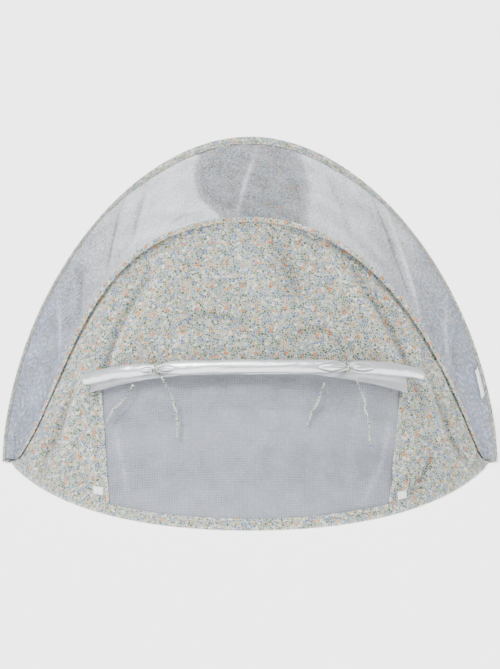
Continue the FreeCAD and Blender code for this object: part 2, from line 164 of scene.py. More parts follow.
@dataclass(frozen=True)
class PrintedCotton:
    """Small flowers printed on a plain-woven cotton: a matt cloth whose print reads as speckle."""

    name: str = "printed_cotton_plain_weave"
    ground: str = "#F3F1E6"
    repeat_mm: tuple[float, float] = (66.0, 52.0)
    sprig_mm: float = 5.6
    weave_mm: float = 1.6
    stalk: str = "#43564A"
    shade: float = 0.70
    blooms: tuple[Bloom, ...] = (
        Bloom("#93AFC4", "#E9EEEF", 4.7, (44.0, 13.0), 5, 0.4),
        Bloom("#F4F0E4", "#D9B97E", 4.2, (8.0, 30.0), 6, 0.9),
        Bloom("#6580B4", "#DDE3EE", 4.8, (22.0, 22.0), 5, 0.1),
        Bloom("#7792BE", "#F0F1EE", 4.2, (54.0, 38.0), 5, 1.1),
        Bloom("#EBA66C", "#F7EBD0", 4.0, (34.0, 42.0), 5, 0.7),
        Bloom("#E4701F", "#F8DC98", 4.9, (0.0, 0.0), 5, 0.2),
        Bloom("#E8843E", "#F4E3BE", 4.2, (30.0, 6.0), 5, 0.9),
    )
    sprigs: tuple[tuple[float, str], ...] = (
        (0.0, "#7C9676"), (0.17, "#B9C6AC"), (0.31, "#93AEC2"), (0.45, "#CFD2C2"),
        (0.56, "#5F7B62"), (0.68, "#E3B27E"), (0.79, "#F8F6EE"), (0.88, "#6A86B0"),
    )

    def lay_bloom(self, tree: bpy.types.NodeTree, bloom: Bloom, place: bpy.types.NodeSocket,
                  below: bpy.types.NodeSocket) -> bpy.types.NodeSocket:
        """Prints one flower of the repeat over what is already printed.

        Args:
            tree: The material's node tree.
            bloom: The flower.
            place: The place on the cloth in millimetres.
            below: The colour so far.

        Returns:
            The colour with the flower on it.
        """
        wide, tall = self.repeat_mm
        moved = add(tree, "VectorMath", {"operation": "ADD", 1: (*bloom.shift_mm, 0.0)}, {0: place})
        across = add(tree, "VectorMath", {"operation": "DOT_PRODUCT", 1: (1 / wide, -0.5 / tall, 0.0)},
                     {0: moved.outputs[0]})
        up = add(tree, "VectorMath", {"operation": "DOT_PRODUCT", 1: (0.0, 1 / tall, 0.0)},
                 {0: moved.outputs[0]})
        cell = add(tree, "CombineXYZ", links={0: across.outputs["Value"], 1: up.outputs["Value"]})
        part = add(tree, "VectorMath", {"operation": "FRACTION"}, {0: cell.outputs[0]})
        local = add(tree, "VectorMath", {"operation": "SUBTRACT", 1: (0.5, 0.5, 0.0)}, {0: part.outputs[0]})
        x = add(tree, "VectorMath", {"operation": "DOT_PRODUCT", 1: (wide, wide / 2, 0.0)},
                {0: local.outputs[0]})
        y = add(tree, "VectorMath", {"operation": "DOT_PRODUCT", 1: (0.0, tall, 0.0)}, {0: local.outputs[0]})
        angle = add(tree, "Math", {"operation": "ARCTAN2"}, {0: y.outputs["Value"], 1: x.outputs["Value"]})
        spot = add(tree, "CombineXYZ", links={0: x.outputs["Value"], 1: y.outputs["Value"]})
        reach = add(tree, "VectorMath", {"operation": "LENGTH"}, {0: spot.outputs[0]})
        spun = add(tree, "Math", {"operation": "MULTIPLY_ADD", 1: float(bloom.petals), 2: bloom.turn * 6},
                   {0: angle.outputs[0]})
        lobes = add(tree, "Math", {"operation": "COSINE"}, {0: spun.outputs[0]})
        rim = add(tree, "Math", {"operation": "MULTIPLY_ADD", 1: 0.24 * bloom.radius_mm,
                                 2: 0.76 * bloom.radius_mm}, {0: lobes.outputs[0]})
        inside = add(tree, "Math", {"operation": "SUBTRACT"}, {0: rim.outputs[0], 1: reach.outputs["Value"]})
        petal = add(tree, "MapRange", {"From Min": -0.3, "From Max": 0.5}, {"Value": inside.outputs[0]})
        heart = add(tree, "MapRange",
                    {"From Min": 0.34 * bloom.radius_mm, "From Max": 0.22 * bloom.radius_mm},
                    {"Value": reach.outputs["Value"]})
        flower = add(tree, "Mix", {"data_type": "RGBA", 6: linear(bloom.petal), 7: linear(bloom.heart)},
                     {0: heart.outputs[0]})
        laid = add(tree, "Mix", {"data_type": "RGBA"},
                   {0: petal.outputs[0], 6: below, 7: flower.outputs[2]})
        return laid.outputs[2]

    def build(self) -> bpy.types.Material:
        """Makes the material: ground, leaves and buds, then the flowers, on a plain weave."""
        material, tree = blank_material(self.name)
        place = cloth_millimetres(tree)
        wander = add(tree, "TexNoise", {"noise_dimensions": "2D", "Scale": 1 / 14, "Detail": 1.0},
                     {"Vector": place})
        drift = add(tree, "VectorMath", {"operation": "MULTIPLY_ADD", 1: (5.0, 5.0, 0.0)},
                    {0: wander.outputs["Color"], 2: place})
        # Leaves and buds: crowded blots, one colour to a blot, with thin pale gaps between them.
        sprig = add(tree, "TexVoronoi", {"voronoi_dimensions": "2D", "Scale": 1 / self.sprig_mm,
                                         "Randomness": 1.0}, {"Vector": drift.outputs[0]})
        gaps = add(tree, "TexVoronoi", {"voronoi_dimensions": "2D", "feature": "DISTANCE_TO_EDGE",
                                        "Scale": 1 / self.sprig_mm, "Randomness": 1.0},
                   {"Vector": drift.outputs[0]})
        pick = add(tree, "SeparateColor", links={0: sprig.outputs["Color"]})
        ramp = add(tree, "ValToRGB", links={0: pick.outputs[0]})
        ramp.color_ramp.interpolation = "CONSTANT"
        for index, (start, colour) in enumerate(self.sprigs):
            stops = ramp.color_ramp.elements
            stop = stops[index] if index < 2 else stops.new(start)
            stop.position, stop.color = start, linear(colour)
        leaf = add(tree, "MapRange", {"From Min": 0.05, "From Max": 0.12},
                   {"Value": gaps.outputs["Distance"]})
        printed = add(tree, "Mix", {"data_type": "RGBA", 6: linear(self.ground)},
                      {0: leaf.outputs[0], 7: ramp.outputs[0]}).outputs[2]
        # Stalks and seeds: small dark touches between the blots.
        seed = add(tree, "TexVoronoi", {"voronoi_dimensions": "2D", "Scale": 1.9 / self.sprig_mm,
                                        "Randomness": 1.0}, {"Vector": drift.outputs[0]})
        chance = add(tree, "SeparateColor", links={0: seed.outputs["Color"]})
        some = add(tree, "MapRange", {"From Min": 0.66, "From Max": 0.68}, {"Value": chance.outputs[1]})
        small = add(tree, "MapRange", {"From Min": 0.34, "From Max": 0.24},
                    {"Value": seed.outputs["Distance"]})
        touch = add(tree, "Math", {"operation": "MULTIPLY"}, {0: some.outputs[0], 1: small.outputs[0]})
        printed = add(tree, "Mix", {"data_type": "RGBA", 7: linear(self.stalk)},
                      {0: touch.outputs[0], 6: printed}).outputs[2]
        for bloom in self.blooms:
            printed = self.lay_bloom(tree, bloom, drift.outputs[0], printed)
        # Ink takes unevenly, and painted_shade paints shade into seams, gathers, grooves and fold valleys,
        # and less onto fold ridges.
        ink = add(tree, "TexNoise", {"Scale": 1 / 60, "Detail": 3.0}, {"Vector": place})
        tone_and_shade = add(tree, "MapRange", {"To Min": 0.90 * self.shade, "To Max": 1.04 * self.shade},
                   {"Value": ink.outputs[0]})
        painted_shade = add(tree, "Attribute", {"attribute_name": "painted_shade"})
        deep = add(tree, "MapRange", {"To Min": 1.0, "To Max": 0.38}, {"Value": painted_shade.outputs["Fac"]})
        tone = add(tree, "Math", {"operation": "MULTIPLY"}, {0: tone_and_shade.outputs[0], 1: deep.outputs[0]})
        toned = add(tree, "VectorMath", {"operation": "SCALE"}, {0: printed, "Scale": tone.outputs[0]})
        # The yarns are about 0.3 mm apart; they are drawn at weave_mm, coarse enough to show.
        warp = add(tree, "TexWave", {"bands_direction": "X", "Scale": math.tau / self.weave_mm / 20,
                                     "Distortion": 0.6}, {"Vector": place})
        weft = add(tree, "TexWave", {"bands_direction": "Y", "Scale": math.tau / self.weave_mm / 20,
                                     "Distortion": 0.6}, {"Vector": place})
        weave = add(tree, "Math", {"operation": "MULTIPLY"}, {0: warp.outputs["Fac"], 1: weft.outputs["Fac"]})
        relief = add(tree, "Bump", {"Strength": 0.25, "Distance": 0.3 * MM}, {"Height": weave.outputs[0]})
        shader = add(tree, "BsdfPrincipled", {"Roughness": 0.86, "Sheen Weight": 0.12,
                                              "Sheen Roughness": 0.5, "Specular IOR Level": 0.3},
                     {"Base Color": toned.outputs[0], "Normal": relief.outputs[0]})
        surface(tree, shader)
        return material


@dataclass(frozen=True)
class Net:
    """Knitted polyester net: a grid of threads over a finer knit that veils what lies behind it."""

    name: str
    thread: str = "#9DA3AE"
    pitch_mm: float = 7.0
    thread_share: float = 0.42
    hole_cover: float = 0.42
    thread_cover: float = 0.86
    grain_mm: float = 7.0
    grain: float = 0.10

    def build(self) -> bpy.types.Material:
        """Makes the material: a grid of threads, with the finer knit between them as a veil."""
        material, tree = blank_material(self.name)
        place = cloth_millimetres(tree)
        # The real mesh is about 1 mm; the grid is drawn at pitch_mm so that it shows.
        cell = add(tree, "VectorMath", {"operation": "SCALE", "Scale": 1 / self.pitch_mm}, {0: place})
        part = add(tree, "VectorMath", {"operation": "FRACTION"}, {0: cell.outputs[0]})
        local = add(tree, "VectorMath", {"operation": "SUBTRACT", 1: (0.5, 0.5, 0.0)}, {0: part.outputs[0]})
        size = add(tree, "VectorMath", {"operation": "ABSOLUTE"}, {0: local.outputs[0]})
        axes = add(tree, "SeparateXYZ", links={0: size.outputs[0]})
        nearest = add(tree, "Math", {"operation": "MINIMUM"}, {0: axes.outputs[0], 1: axes.outputs[1]})
        grid = add(tree, "MapRange", {"From Min": self.thread_share / 2 + 0.08,
                                      "From Max": self.thread_share / 2 - 0.08},
                   {"Value": nearest.outputs[0]})
        uneven = add(tree, "TexNoise", {"Scale": 1 / 45, "Detail": 4.0}, {"Vector": place})
        patch = add(tree, "MapRange", {"From Min": 0.3, "From Max": 0.7, "To Min": -0.10, "To Max": 0.10},
                    {"Value": uneven.outputs[0]})
        veil = add(tree, "Attribute", {"attribute_name": "veil"})
        cover = add(tree, "MapRange", {"To Min": self.hole_cover, "To Max": self.thread_cover},
                    {"Value": grid.outputs[0]})
        thick = add(tree, "Math", {"operation": "ADD"}, {0: patch.outputs[0], 1: veil.outputs["Fac"]})
        alpha = add(tree, "Math", {"operation": "ADD", "use_clamp": True},
                    {0: cover.outputs[0], 1: thick.outputs[0]})
        # Painted highlight: where folds catch the light the thread is mixed nearly to white; the
        # tone_and_painted_light attribute also carries the thread's base tone and, on the roof, painted
        # highlight and shade. The knit's own loops glint unevenly.
        tone_and_painted_light = add(tree, "Attribute", {"attribute_name": "tone_and_painted_light"})
        loops = add(tree, "TexNoise", {"Scale": 1 / self.grain_mm, "Detail": 1.0, "Roughness": 0.75},
                    {"Vector": place})
        glint = add(tree, "MapRange", {"From Min": 0.38, "From Max": 0.62, "To Min": -self.grain,
                                       "To Max": self.grain}, {"Value": loops.outputs[0]})
        light = add(tree, "Math", {"operation": "ADD", "use_clamp": True},
                    {0: tone_and_painted_light.outputs["Fac"], 1: glint.outputs[0]})
        tint = add(tree, "Mix", {"data_type": "RGBA", 6: linear(self.thread), 7: linear("#F4F6FA")},
                   {0: light.outputs[0]})
        relief = add(tree, "Bump", {"Strength": 0.3, "Distance": 0.5 * MM}, {"Height": grid.outputs[0]})
        shader = add(tree, "BsdfPrincipled", {"Roughness": 0.6, "Sheen Weight": 0.2},
                     {"Base Color": tint.outputs[2], "Alpha": alpha.outputs[0], "Normal": relief.outputs[0]})
        surface(tree, shader)
        return material


@dataclass(frozen=True)
class SilverCloth:
    """Polyester coated with aluminium: a soft satin sheen over a fine ripstop weave."""

    name: str = "aluminium_coated_polyester"
    colour: str = "#EEF0F4"
    crinkle_mm: float = 24.0

    def build(self) -> bpy.types.Material:
        """Makes the material: satin metal coat with crinkles pressed in by the rolling."""
        material, tree = blank_material(self.name)
        place = cloth_millimetres(tree)
        crinkle = add(tree, "TexNoise", {"Scale": 1 / self.crinkle_mm, "Detail": 5.0, "Roughness": 0.6,
                                         "Distortion": 0.8}, {"Vector": place})
        thread = add(tree, "TexNoise", {"Scale": 1.2, "Detail": 2.0}, {"Vector": place})
        height = add(tree, "Math", {"operation": "MULTIPLY_ADD", 1: 0.08},
                     {0: thread.outputs[0], 2: crinkle.outputs[0]})
        relief = add(tree, "Bump", {"Strength": 0.5, "Distance": 3 * MM}, {"Height": height.outputs[0]})
        tone_and_shade = add(tree, "MapRange", {"To Min": 0.88, "To Max": 1.08}, {"Value": crinkle.outputs[0]})
        # Painted shade darkens the pleats and the underside of the roll.
        painted_shade = add(tree, "Attribute", {"attribute_name": "painted_shade"})
        deep = add(tree, "MapRange", {"To Min": 1.0, "To Max": 0.30}, {"Value": painted_shade.outputs["Fac"]})
        tone = add(tree, "Math", {"operation": "MULTIPLY"}, {0: tone_and_shade.outputs[0], 1: deep.outputs[0]})
        colour = add(tree, "VectorMath", {"operation": "SCALE", 0: linear(self.colour)[:3]},
                     {"Scale": tone.outputs[0]})
        gloss = add(tree, "MapRange", {"To Min": 0.26, "To Max": 0.44}, {"Value": crinkle.outputs[0]})
        shader = add(tree, "BsdfPrincipled", {"Metallic": 0.75},
                     {"Base Color": colour.outputs[0], "Roughness": gloss.outputs[0],
                      "Normal": relief.outputs[0]})
        surface(tree, shader)
        return material


@dataclass(frozen=True)
class PlainCloth:
    """A plain dyed cloth or tape: colour, roughness and a weave or pile of one size."""

    name: str
    colour: str
    roughness: float = 0.8
    sheen: float = 0.1
    weave_mm: float = 2.0
    depth_mm: float = 0.3
    pile: bool = False

    def build(self) -> bpy.types.Material:
        """Makes the material: an even weave, or for a pile fine loops from noise."""
        material, tree = blank_material(self.name)
        place = cloth_millimetres(tree)
        if self.pile:
            loops = add(tree, "TexVoronoi", {"Scale": 1 / self.weave_mm}, {"Vector": place})
            grain = loops.outputs["Distance"]
        else:
            cell = add(tree, "VectorMath", {"operation": "SCALE", "Scale": math.pi / self.weave_mm},
                       {0: place})
            ridge = add(tree, "VectorMath", {"operation": "SINE"}, {0: cell.outputs[0]})
            axes = add(tree, "SeparateXYZ", links={0: ridge.outputs[0]})
            grain = add(tree, "Math", {"operation": "MULTIPLY"},
                        {0: axes.outputs[0], 1: axes.outputs[1]}).outputs[0]
        soil = add(tree, "TexNoise", {"Scale": 1 / 40, "Detail": 3.0}, {"Vector": place})
        tone = add(tree, "MapRange", {"To Min": 0.92, "To Max": 1.05}, {"Value": soil.outputs[0]})
        colour = add(tree, "VectorMath", {"operation": "SCALE", 0: linear(self.colour)[:3]},
                     {"Scale": tone.outputs[0]})
        relief = add(tree, "Bump", {"Strength": 0.5, "Distance": self.depth_mm * MM}, {"Height": grain})
        shader = add(tree, "BsdfPrincipled", {"Roughness": self.roughness, "Sheen Weight": self.sheen},
                     {"Base Color": colour.outputs[0], "Normal": relief.outputs[0]})
        surface(tree, shader)
        return material


@dataclass(frozen=True)
class DrawnMetal:
    """Drawn or crimped metal: fine lines along it break up the reflection."""

    name: str
    colour: str
    roughness: float

    def build(self) -> bpy.types.Material:
        """Makes the material: bare metal with streaks from the die."""
        material, tree = blank_material(self.name)
        place = add(tree, "TexCoord")
        streak = add(tree, "TexNoise", {"Scale": 900.0, "Detail": 2.0}, {"Vector": place.outputs["Object"]})
        gloss = add(tree, "MapRange", {"To Min": self.roughness - 0.08, "To Max": self.roughness + 0.1},
                    {"Value": streak.outputs[0]})
        shader = add(tree, "BsdfPrincipled", {"Metallic": 1.0, "Base Color": linear(self.colour)},
                     {"Roughness": gloss.outputs[0]})
        surface(tree, shader)
        return material


class Finish(Enum):
    """The finishes of the tent, each made once."""

    PRINT = PrintedCotton()
    ROOF_NET = Net("knitted_polyester_net_roof", thread="#8D97AF", hole_cover=0.14, thread_cover=0.38,
                   pitch_mm=3.4, grain_mm=6.0, grain=0.30)
    WINDOW_NET = Net("knitted_polyester_net_window", thread="#979CA8", hole_cover=0.48, thread_cover=0.68,
                     pitch_mm=5.6)
    SILVER = SilverCloth()
    FLOOR = PlainCloth("coated_polyester_floor", "#A9ADB3", 0.55, 0.0, 3.0, 0.2)
    TAPE = PlainCloth("woven_satin_tape", "#F1F2F2", 0.45, 0.1, 1.2, 0.15)
    LOOP = PlainCloth("hook_and_loop_pile", "#EFEFEC", 0.95, 0.4, 1.6, 0.8, pile=True)
    BINDING = PlainCloth("folded_cotton_binding", "#BFC6BC", 0.8, 0.15, 1.4, 0.25)
    THREAD = PlainCloth("spun_polyester_thread", "#D9DAD2", 0.7, 0.2, 0.8, 0.1)
    WIRE = DrawnMetal("drawn_spring_steel", "#8A8C90", 0.32)
    CRIMP = DrawnMetal("crimped_aluminium_tube", "#C9CBCE", 0.4)
    STAGE = PlainCloth("painted_studio_floor", "#FAFAFA", 0.9, 0.0, 400.0, 0.0)


MADE: dict[str, bpy.types.Material] = {}


def finish_of(finish: Finish) -> bpy.types.Material:
    """The finish's material, made the first time it is asked for."""
    if finish.name not in MADE:
        MADE[finish.name] = finish.value.build()
    return MADE[finish.name]


# ---------------------------------------------------------------- meshes


def add_field(mesh: bpy.types.Mesh, name: str, values: Array) -> None:
    """Stores one number at each vertex for a material to read."""
    layer = mesh.attributes.get(name) or mesh.attributes.new(name, "FLOAT", "POINT")
    layer.data.foreach_set("value", np.asarray(values, np.float32).ravel())


def tidy_mesh(mesh: bpy.types.Mesh, weld: bool, cap: bool) -> None:
    """Drops loose points, welds a tube's seam, closes its ends and turns its faces outwards.

    Args:
        mesh: The mesh to change.
        weld: Whether to join points that lie together.
        cap: Whether to fill the holes.
    """
    work = bmesh.new()
    work.from_mesh(mesh)
    bmesh.ops.delete(work, geom=[v for v in work.verts if not v.link_faces], context="VERTS")
    if weld:
        bmesh.ops.remove_doubles(work, verts=work.verts, dist=0.01 * MM)
    if cap:
        bmesh.ops.holes_fill(work, edges=[e for e in work.edges if e.is_boundary], sides=0)
        bmesh.ops.recalc_face_normals(work, faces=work.faces)
    work.to_mesh(mesh)
    work.free()


def grid_object(name: str, points: Array, uv: Array, finish: Finish, hole: Array | None = None,
                weld: bool = False, cap: bool = False,
                fields: dict[str, Array] | None = None) -> bpy.types.Object:
    """Makes a mesh from rows of points.

    Args:
        name: The piece's name.
        points: Places in metres, by row and column.
        uv: Places on the flat cloth in metres, by row and column.
        finish: The finish.
        hole: True for each square to leave out.
        weld: Whether the first and last columns meet, as in a tube.
        cap: Whether to close the ends.
        fields: Numbers for the materials, by row and column.

    Returns:
        The new object, linked to the scene.
    """
    rows, columns = points.shape[:2]
    index = np.arange(rows * columns).reshape(rows, columns)
    quads = np.stack([index[:-1, :-1], index[1:, :-1], index[1:, 1:], index[:-1, 1:]], -1)
    quads = quads.reshape(-1, 4) if hole is None else quads[~hole]
    mesh = bpy.data.meshes.new(name)
    mesh.from_pydata(points.reshape(-1, 3).tolist(), [], quads.tolist())
    corners = np.empty(len(mesh.loops), np.int32)
    mesh.loops.foreach_get("vertex_index", corners)
    layer = mesh.uv_layers.new(name="cloth")
    layer.data.foreach_set("uv", uv.reshape(-1, 2)[corners].astype(np.float32).ravel())
    for field_name, values in (fields or {}).items():
        add_field(mesh, field_name, values)
    tidy_mesh(mesh, weld, cap)
    mesh.polygons.foreach_set("use_smooth", [True] * len(mesh.polygons))
    mesh.set_sharp_from_angle(angle=SHARP)
    mesh.materials.append(finish_of(finish))
    made = bpy.data.objects.new(name, mesh)
    bpy.context.scene.collection.objects.link(made)
    return made


def thicken(piece: bpy.types.Object, thickness: float, offset: float = -1.0) -> bpy.types.Object:
    """Gives a sheet its thickness, with a rim.

    Args:
        piece: The sheet.
        thickness: In metres.
        offset: -1 grows inwards, 1 outwards and 0 both ways.

    Returns:
        The same object.
    """
    solid = piece.modifiers.new("thickness", "SOLIDIFY")
    solid.thickness = thickness
    solid.offset = offset
    bpy.context.view_layer.update()
    graph = bpy.context.evaluated_depsgraph_get()
    shaped = piece.evaluated_get(graph)
    mesh = bpy.data.meshes.new_from_object(shaped, preserve_all_data_layers=True, depsgraph=graph)
    piece.modifiers.clear()
    piece.data = mesh
    mesh.set_sharp_from_angle(angle=SHARP)
    return piece


def unit(vectors: Array) -> Array:
    """The same directions at length one."""
    return vectors / np.maximum(np.linalg.norm(vectors, axis=-1, keepdims=True), 1e-12)


def run_length(points: Array) -> Array:
    """The distance along a line of points, at each point."""
    steps = np.linalg.norm(np.diff(points, axis=0), axis=1)
    return np.concatenate([[0.0], np.cumsum(steps)])


def smooth_noise(place: Array, size: float, seed: int) -> Array:
    """Soft unevenness, mostly from -1 to 1, the same on every run.

    Args:
        place: Places in metres, any number of columns.
        size: How far apart the bumps are, in metres.
        seed: Picks the pattern.

    Returns:
        One number for each place.
    """
    waves, spread = 7, 4.0
    dice = np.random.default_rng(seed)
    total = np.zeros(place.shape[:-1])
    for _ in range(waves):
        direction = dice.normal(size=place.shape[-1])
        direction *= dice.uniform(0.6, 1.5) / np.linalg.norm(direction)
        total += np.sin(place @ direction * math.tau / size + dice.uniform(0, math.tau))
    return total / spread


def sweep_object(name: str, path: Array, sides: Array, ups: Array, section: Array, finish: Finish,
                 cap: bool = True, fields: dict[str, Array] | None = None) -> bpy.types.Object:
    """Sweeps a section along a line.

    Args:
        name: The piece's name.
        path: The line, one point to a row.
        sides: The section's first direction at each point.
        ups: The section's second direction at each point.
        section: The section at each point, by row, point and direction, closed on itself.
        finish: The finish.
        cap: Whether to close the ends.
        fields: Numbers for the materials, by row and column.

    Returns:
        The new object.
    """
    points = (path[:, None] + section[..., :1] * sides[:, None] + section[..., 1:] * ups[:, None])
    around = run_length(section[len(section) // 2])
    uv = np.stack(np.broadcast_arrays(run_length(path)[:, None], around[None]), -1)
    return grid_object(name, points, uv, finish, weld=True, cap=cap, fields=fields)


def stitches(name: str, line: Array, outward: Array, pitch: float = 4.6 * MM, length: float = 3.2 * MM,
             width: float = 0.9 * MM) -> bpy.types.Object:
    """Makes a row of sewn stitches along a line, each a small raised dash.

    Args:
        name: The piece's name.
        line: Points along the seam.
        outward: The way out of the cloth at each point.
        pitch: From stitch to stitch, in metres.
        length: Of one stitch, in metres.
        width: Of the thread, in metres.

    Returns:
        One object with every stitch.
    """
    far = run_length(line)
    centres = np.arange(pitch, far[-1] - pitch, pitch)

    def along(values: Array) -> Array:
        """The values at the stitches' middles."""
        return np.stack([np.interp(centres, far, values[:, i]) for i in range(3)], -1)

    middle, out = along(line), unit(along(outward))
    ahead = unit(along(np.gradient(line, axis=0)))
    side = np.cross(out, ahead)
    shape = [(-length / 2, 0, 0), (0, -width / 2, 0.1 * MM), (0, 0, width * 0.7), (0, width / 2, 0.1 * MM),
             (length / 2, 0, 0), (0, 0, -width / 2)]
    points = np.stack([middle + a * ahead + b * side + c * out for a, b, c in shape], 1).reshape(-1, 3)
    one = [(0, 2, 1), (0, 3, 2), (4, 1, 2), (4, 2, 3), (0, 1, 5), (0, 5, 3), (4, 5, 1), (4, 3, 5)]
    faces = [tuple(6 * n + i for i in face) for n in range(len(centres)) for face in one]
    mesh = bpy.data.meshes.new(name)
    mesh.from_pydata(points.tolist(), [], faces)
    mesh.uv_layers.new(name="cloth")
    mesh.materials.append(finish_of(Finish.THREAD))
    made = bpy.data.objects.new(name, mesh)
    bpy.context.scene.collection.objects.link(made)
    return made


# ---------------------------------------------------------------- arcs and panels


class Body(Enum):
    """The rigid parts that the fold joints move."""

    GROUND_REAR = "root"
    ARCH_REAR = "rear_arch"
    ARCH_FRONT = "front_arch"
    GROUND_FRONT = "front_ground"


@dataclass(frozen=True)
class Handles:
    """The shape of half an arc of bent wire, as shares of its end and its height.

    corner_in and corner_up place the curve's second point, and crown its third.
    """

    corner_in: float
    corner_up: float
    crown: float


FOLD_HEIGHT = frame["joints"][0]["pos_m"][2]
WIRE_RADIUS = 1.5 * MM


@dataclass(frozen=True)
class Arc:
    """One arc of wire: s runs from -1 at the left corner, through 0 at its crown, to 1 at the right."""

    body: Body
    end: float
    height: float
    angle: float
    left: Handles
    right: Handles

    @classmethod
    def read(cls, body: Body, left: Handles, right: Handles) -> "Arc":
        """Takes an arc's end, height and lean from its packed wire.

        Args:
            body: The body, which gives the wire's name.
            left: The left half's shape.
            right: The right half's shape.

        Returns:
            The arc.
        """
        name = "rear_ground" if body is Body.GROUND_REAR else body.value
        places = np.array([v.co for v in frame["nodes"][name + "_wire"].data.vertices])
        reach = np.hypot(places[:, 1], places[:, 2] - FOLD_HEIGHT)
        crown = places[reach > reach.max() - 2 * WIRE_RADIUS].mean(axis=0)
        angle = math.atan2(max(crown[2] - FOLD_HEIGHT, 0.0), crown[1])
        return cls(body, places[:, 0].max() - WIRE_RADIUS, reach.max() - WIRE_RADIUS, angle, left, right)

    def at(self, s: Array) -> Array:
        """Points of the arc's middle line."""
        t = 1 - np.abs(s)
        rises = [3 * (1 - t) ** 2 * t, 3 * (1 - t) * t ** 2, t ** 3]
        halves = []
        for half in (self.left, self.right):
            across = (1 - t) ** 3 + rises[0] * (1 - half.corner_in) + rises[1] * half.crown
            halves.append((across, rises[0] * half.corner_up + rises[1] + rises[2]))
        x = self.end * np.sign(s) * np.where(s < 0, halves[0][0], halves[1][0])
        reach = self.height * np.where(s < 0, halves[0][1], halves[1][1])
        return np.stack([x, reach * math.cos(self.angle), FOLD_HEIGHT + reach * math.sin(self.angle)], -1)

    def ahead(self, s: Array) -> Array:
        """The direction of the arc, towards +X."""
        return unit(self.at(np.clip(s + NEARBY, -1, 1)) - self.at(np.clip(s - NEARBY, -1, 1)))


@dataclass(frozen=True)
class Fold:
    """A raised or sunken line in a cloth, between two tensioned places."""

    line: tuple[tuple[float, float], ...]
    height_mm: float
    width_mm: float
    veil: float = 0.0


@dataclass(frozen=True)
class Panel:
    """Cloth stretched from one arc to the next: w runs from 0 at the low arc to 1 at the high one."""

    low: Arc
    high: Arc

    def at(self, s: Array, w: Array) -> Array:
        """Points of the tight cloth."""
        low, high = self.low.at(s), self.high.at(s)
        return low + (high - low) * np.asarray(w)[..., None]

    def outward(self, s: Array, w: Array) -> Array:
        """The way out of the tent, square to the cloth."""
        along = self.at(np.clip(s + NEARBY, -1, 1), w) - self.at(np.clip(s - NEARBY, -1, 1), w)
        return unit(np.cross(self.high.at(s) - self.low.at(s), along))

    def depth(self, s: Array) -> Array:
        """The distance from arc to arc."""
        return np.linalg.norm(self.high.at(s) - self.low.at(s), axis=-1)

    def flat(self, s: Array, w: Array) -> Array:
        """Places on the cloth in metres, seen square to the line between the two crowns: for the print."""
        crown = np.zeros(1)
        top, foot = self.low.at(crown)[0], self.high.at(crown)[0]
        places = self.at(s, w)
        return np.stack([places[..., 0], (places - foot) @ unit(top - foot)], -1)

    def find(self, x: Array, z: Array) -> tuple[Array, Array]:
        """Finds the cloth's s and w where its x and z are known.

        Args:
            x: Places across, in metres.
            z: Heights, in metres.

        Returns:
            s and w.
        """
        s, w = np.asarray(x, float) / self.high.end, np.full(np.shape(x), 0.5)
        for _ in range(40):
            low, high = self.low.at(s), self.high.at(s)
            w = (z - low[..., 2]) / (high[..., 2] - low[..., 2])
            s = np.clip(s + 0.5 * (x - self.at(s, w)[..., 0]) / self.high.end, -0.99, 0.99)
        return s, w

    def folded(self, s: Array, w: Array, folds: Sequence[Fold]) -> tuple[Array, Array]:
        """How far folds lift the cloth, and how much thicker they make a net look.

        Args:
            s: Places along the arcs.
            w: Places between the arcs.
            folds: The folds.

        Returns:
            The lift in metres and the added veil.
        """
        places = self.at(s, w)
        lift, veil = np.zeros(s.shape), np.zeros(s.shape)
        for fold in folds:
            marks = np.array(fold.line)
            stations = np.linspace(0, 1, 40)
            knots = np.linspace(0, 1, len(marks))
            line = self.at(np.interp(stations, knots, marks[:, 0]), np.interp(stations, knots, marks[:, 1]))
            gaps = np.linalg.norm(places[..., None, :] - line, axis=-1)
            share = stations[gaps.argmin(axis=-1)]
            taper = np.sin(np.pi * np.clip(share, 0.02, 0.98)) ** 0.6
            bump = taper * np.exp(-(gaps.min(axis=-1) / (fold.width_mm * MM)) ** 2)
            lift += bump * fold.height_mm * MM
            veil += bump * fold.veil
        return lift, veil

    def bend(self, piece: bpy.types.Object) -> bpy.types.Object:
        """Makes a piece bend between its two arcs: each point keeps its share of the angle between them.

        Args:
            piece: A finished mesh with no parent.

        Returns:
            The same object.
        """
        crown = np.zeros(1)
        start, end = self.low.at(crown)[0], self.high.at(crown)[0]
        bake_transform(piece, self.low.body.value, self.high.body.value, start=tuple(start), end=tuple(end))
        places = np.empty(3 * len(piece.data.vertices), np.float32)
        piece.data.vertices.foreach_get("co", places)
        places = places.reshape(-1, 3)
        angle = np.arctan2(places[:, 2] - FOLD_HEIGHT, places[:, 1])
        angle = np.where(angle < -math.pi / 2, math.pi, np.maximum(angle, 0.0))
        share = (angle - self.low.angle) / (self.high.angle - self.low.angle)
        add_field(piece.data, "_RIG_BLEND", np.clip(share, 0, 1))
        return piece


EVEN_FLOOR = Handles(0.18, 0.525, 0.524)
REAR_ARCH = Handles(0.033, 0.524, 0.482)
ARC_REAR_GROUND = Arc.read(Body.GROUND_REAR, EVEN_FLOOR, EVEN_FLOOR)
ARC_REAR = Arc.read(Body.ARCH_REAR, REAR_ARCH, REAR_ARCH)
ARC_FRONT = Arc.read(Body.ARCH_FRONT, Handles(0.29, 0.448, 0.670), Handles(0.187, 0.457, 0.536))
ARC_FRONT_GROUND = Arc.read(Body.GROUND_FRONT, EVEN_FLOOR, EVEN_FLOOR)
BACK = Panel(ARC_REAR_GROUND, ARC_REAR)
ROOF = Panel(ARC_REAR, ARC_FRONT)
FRONT = Panel(ARC_FRONT, ARC_FRONT_GROUND)


# ---------------------------------------------------------------- sub-assemblies


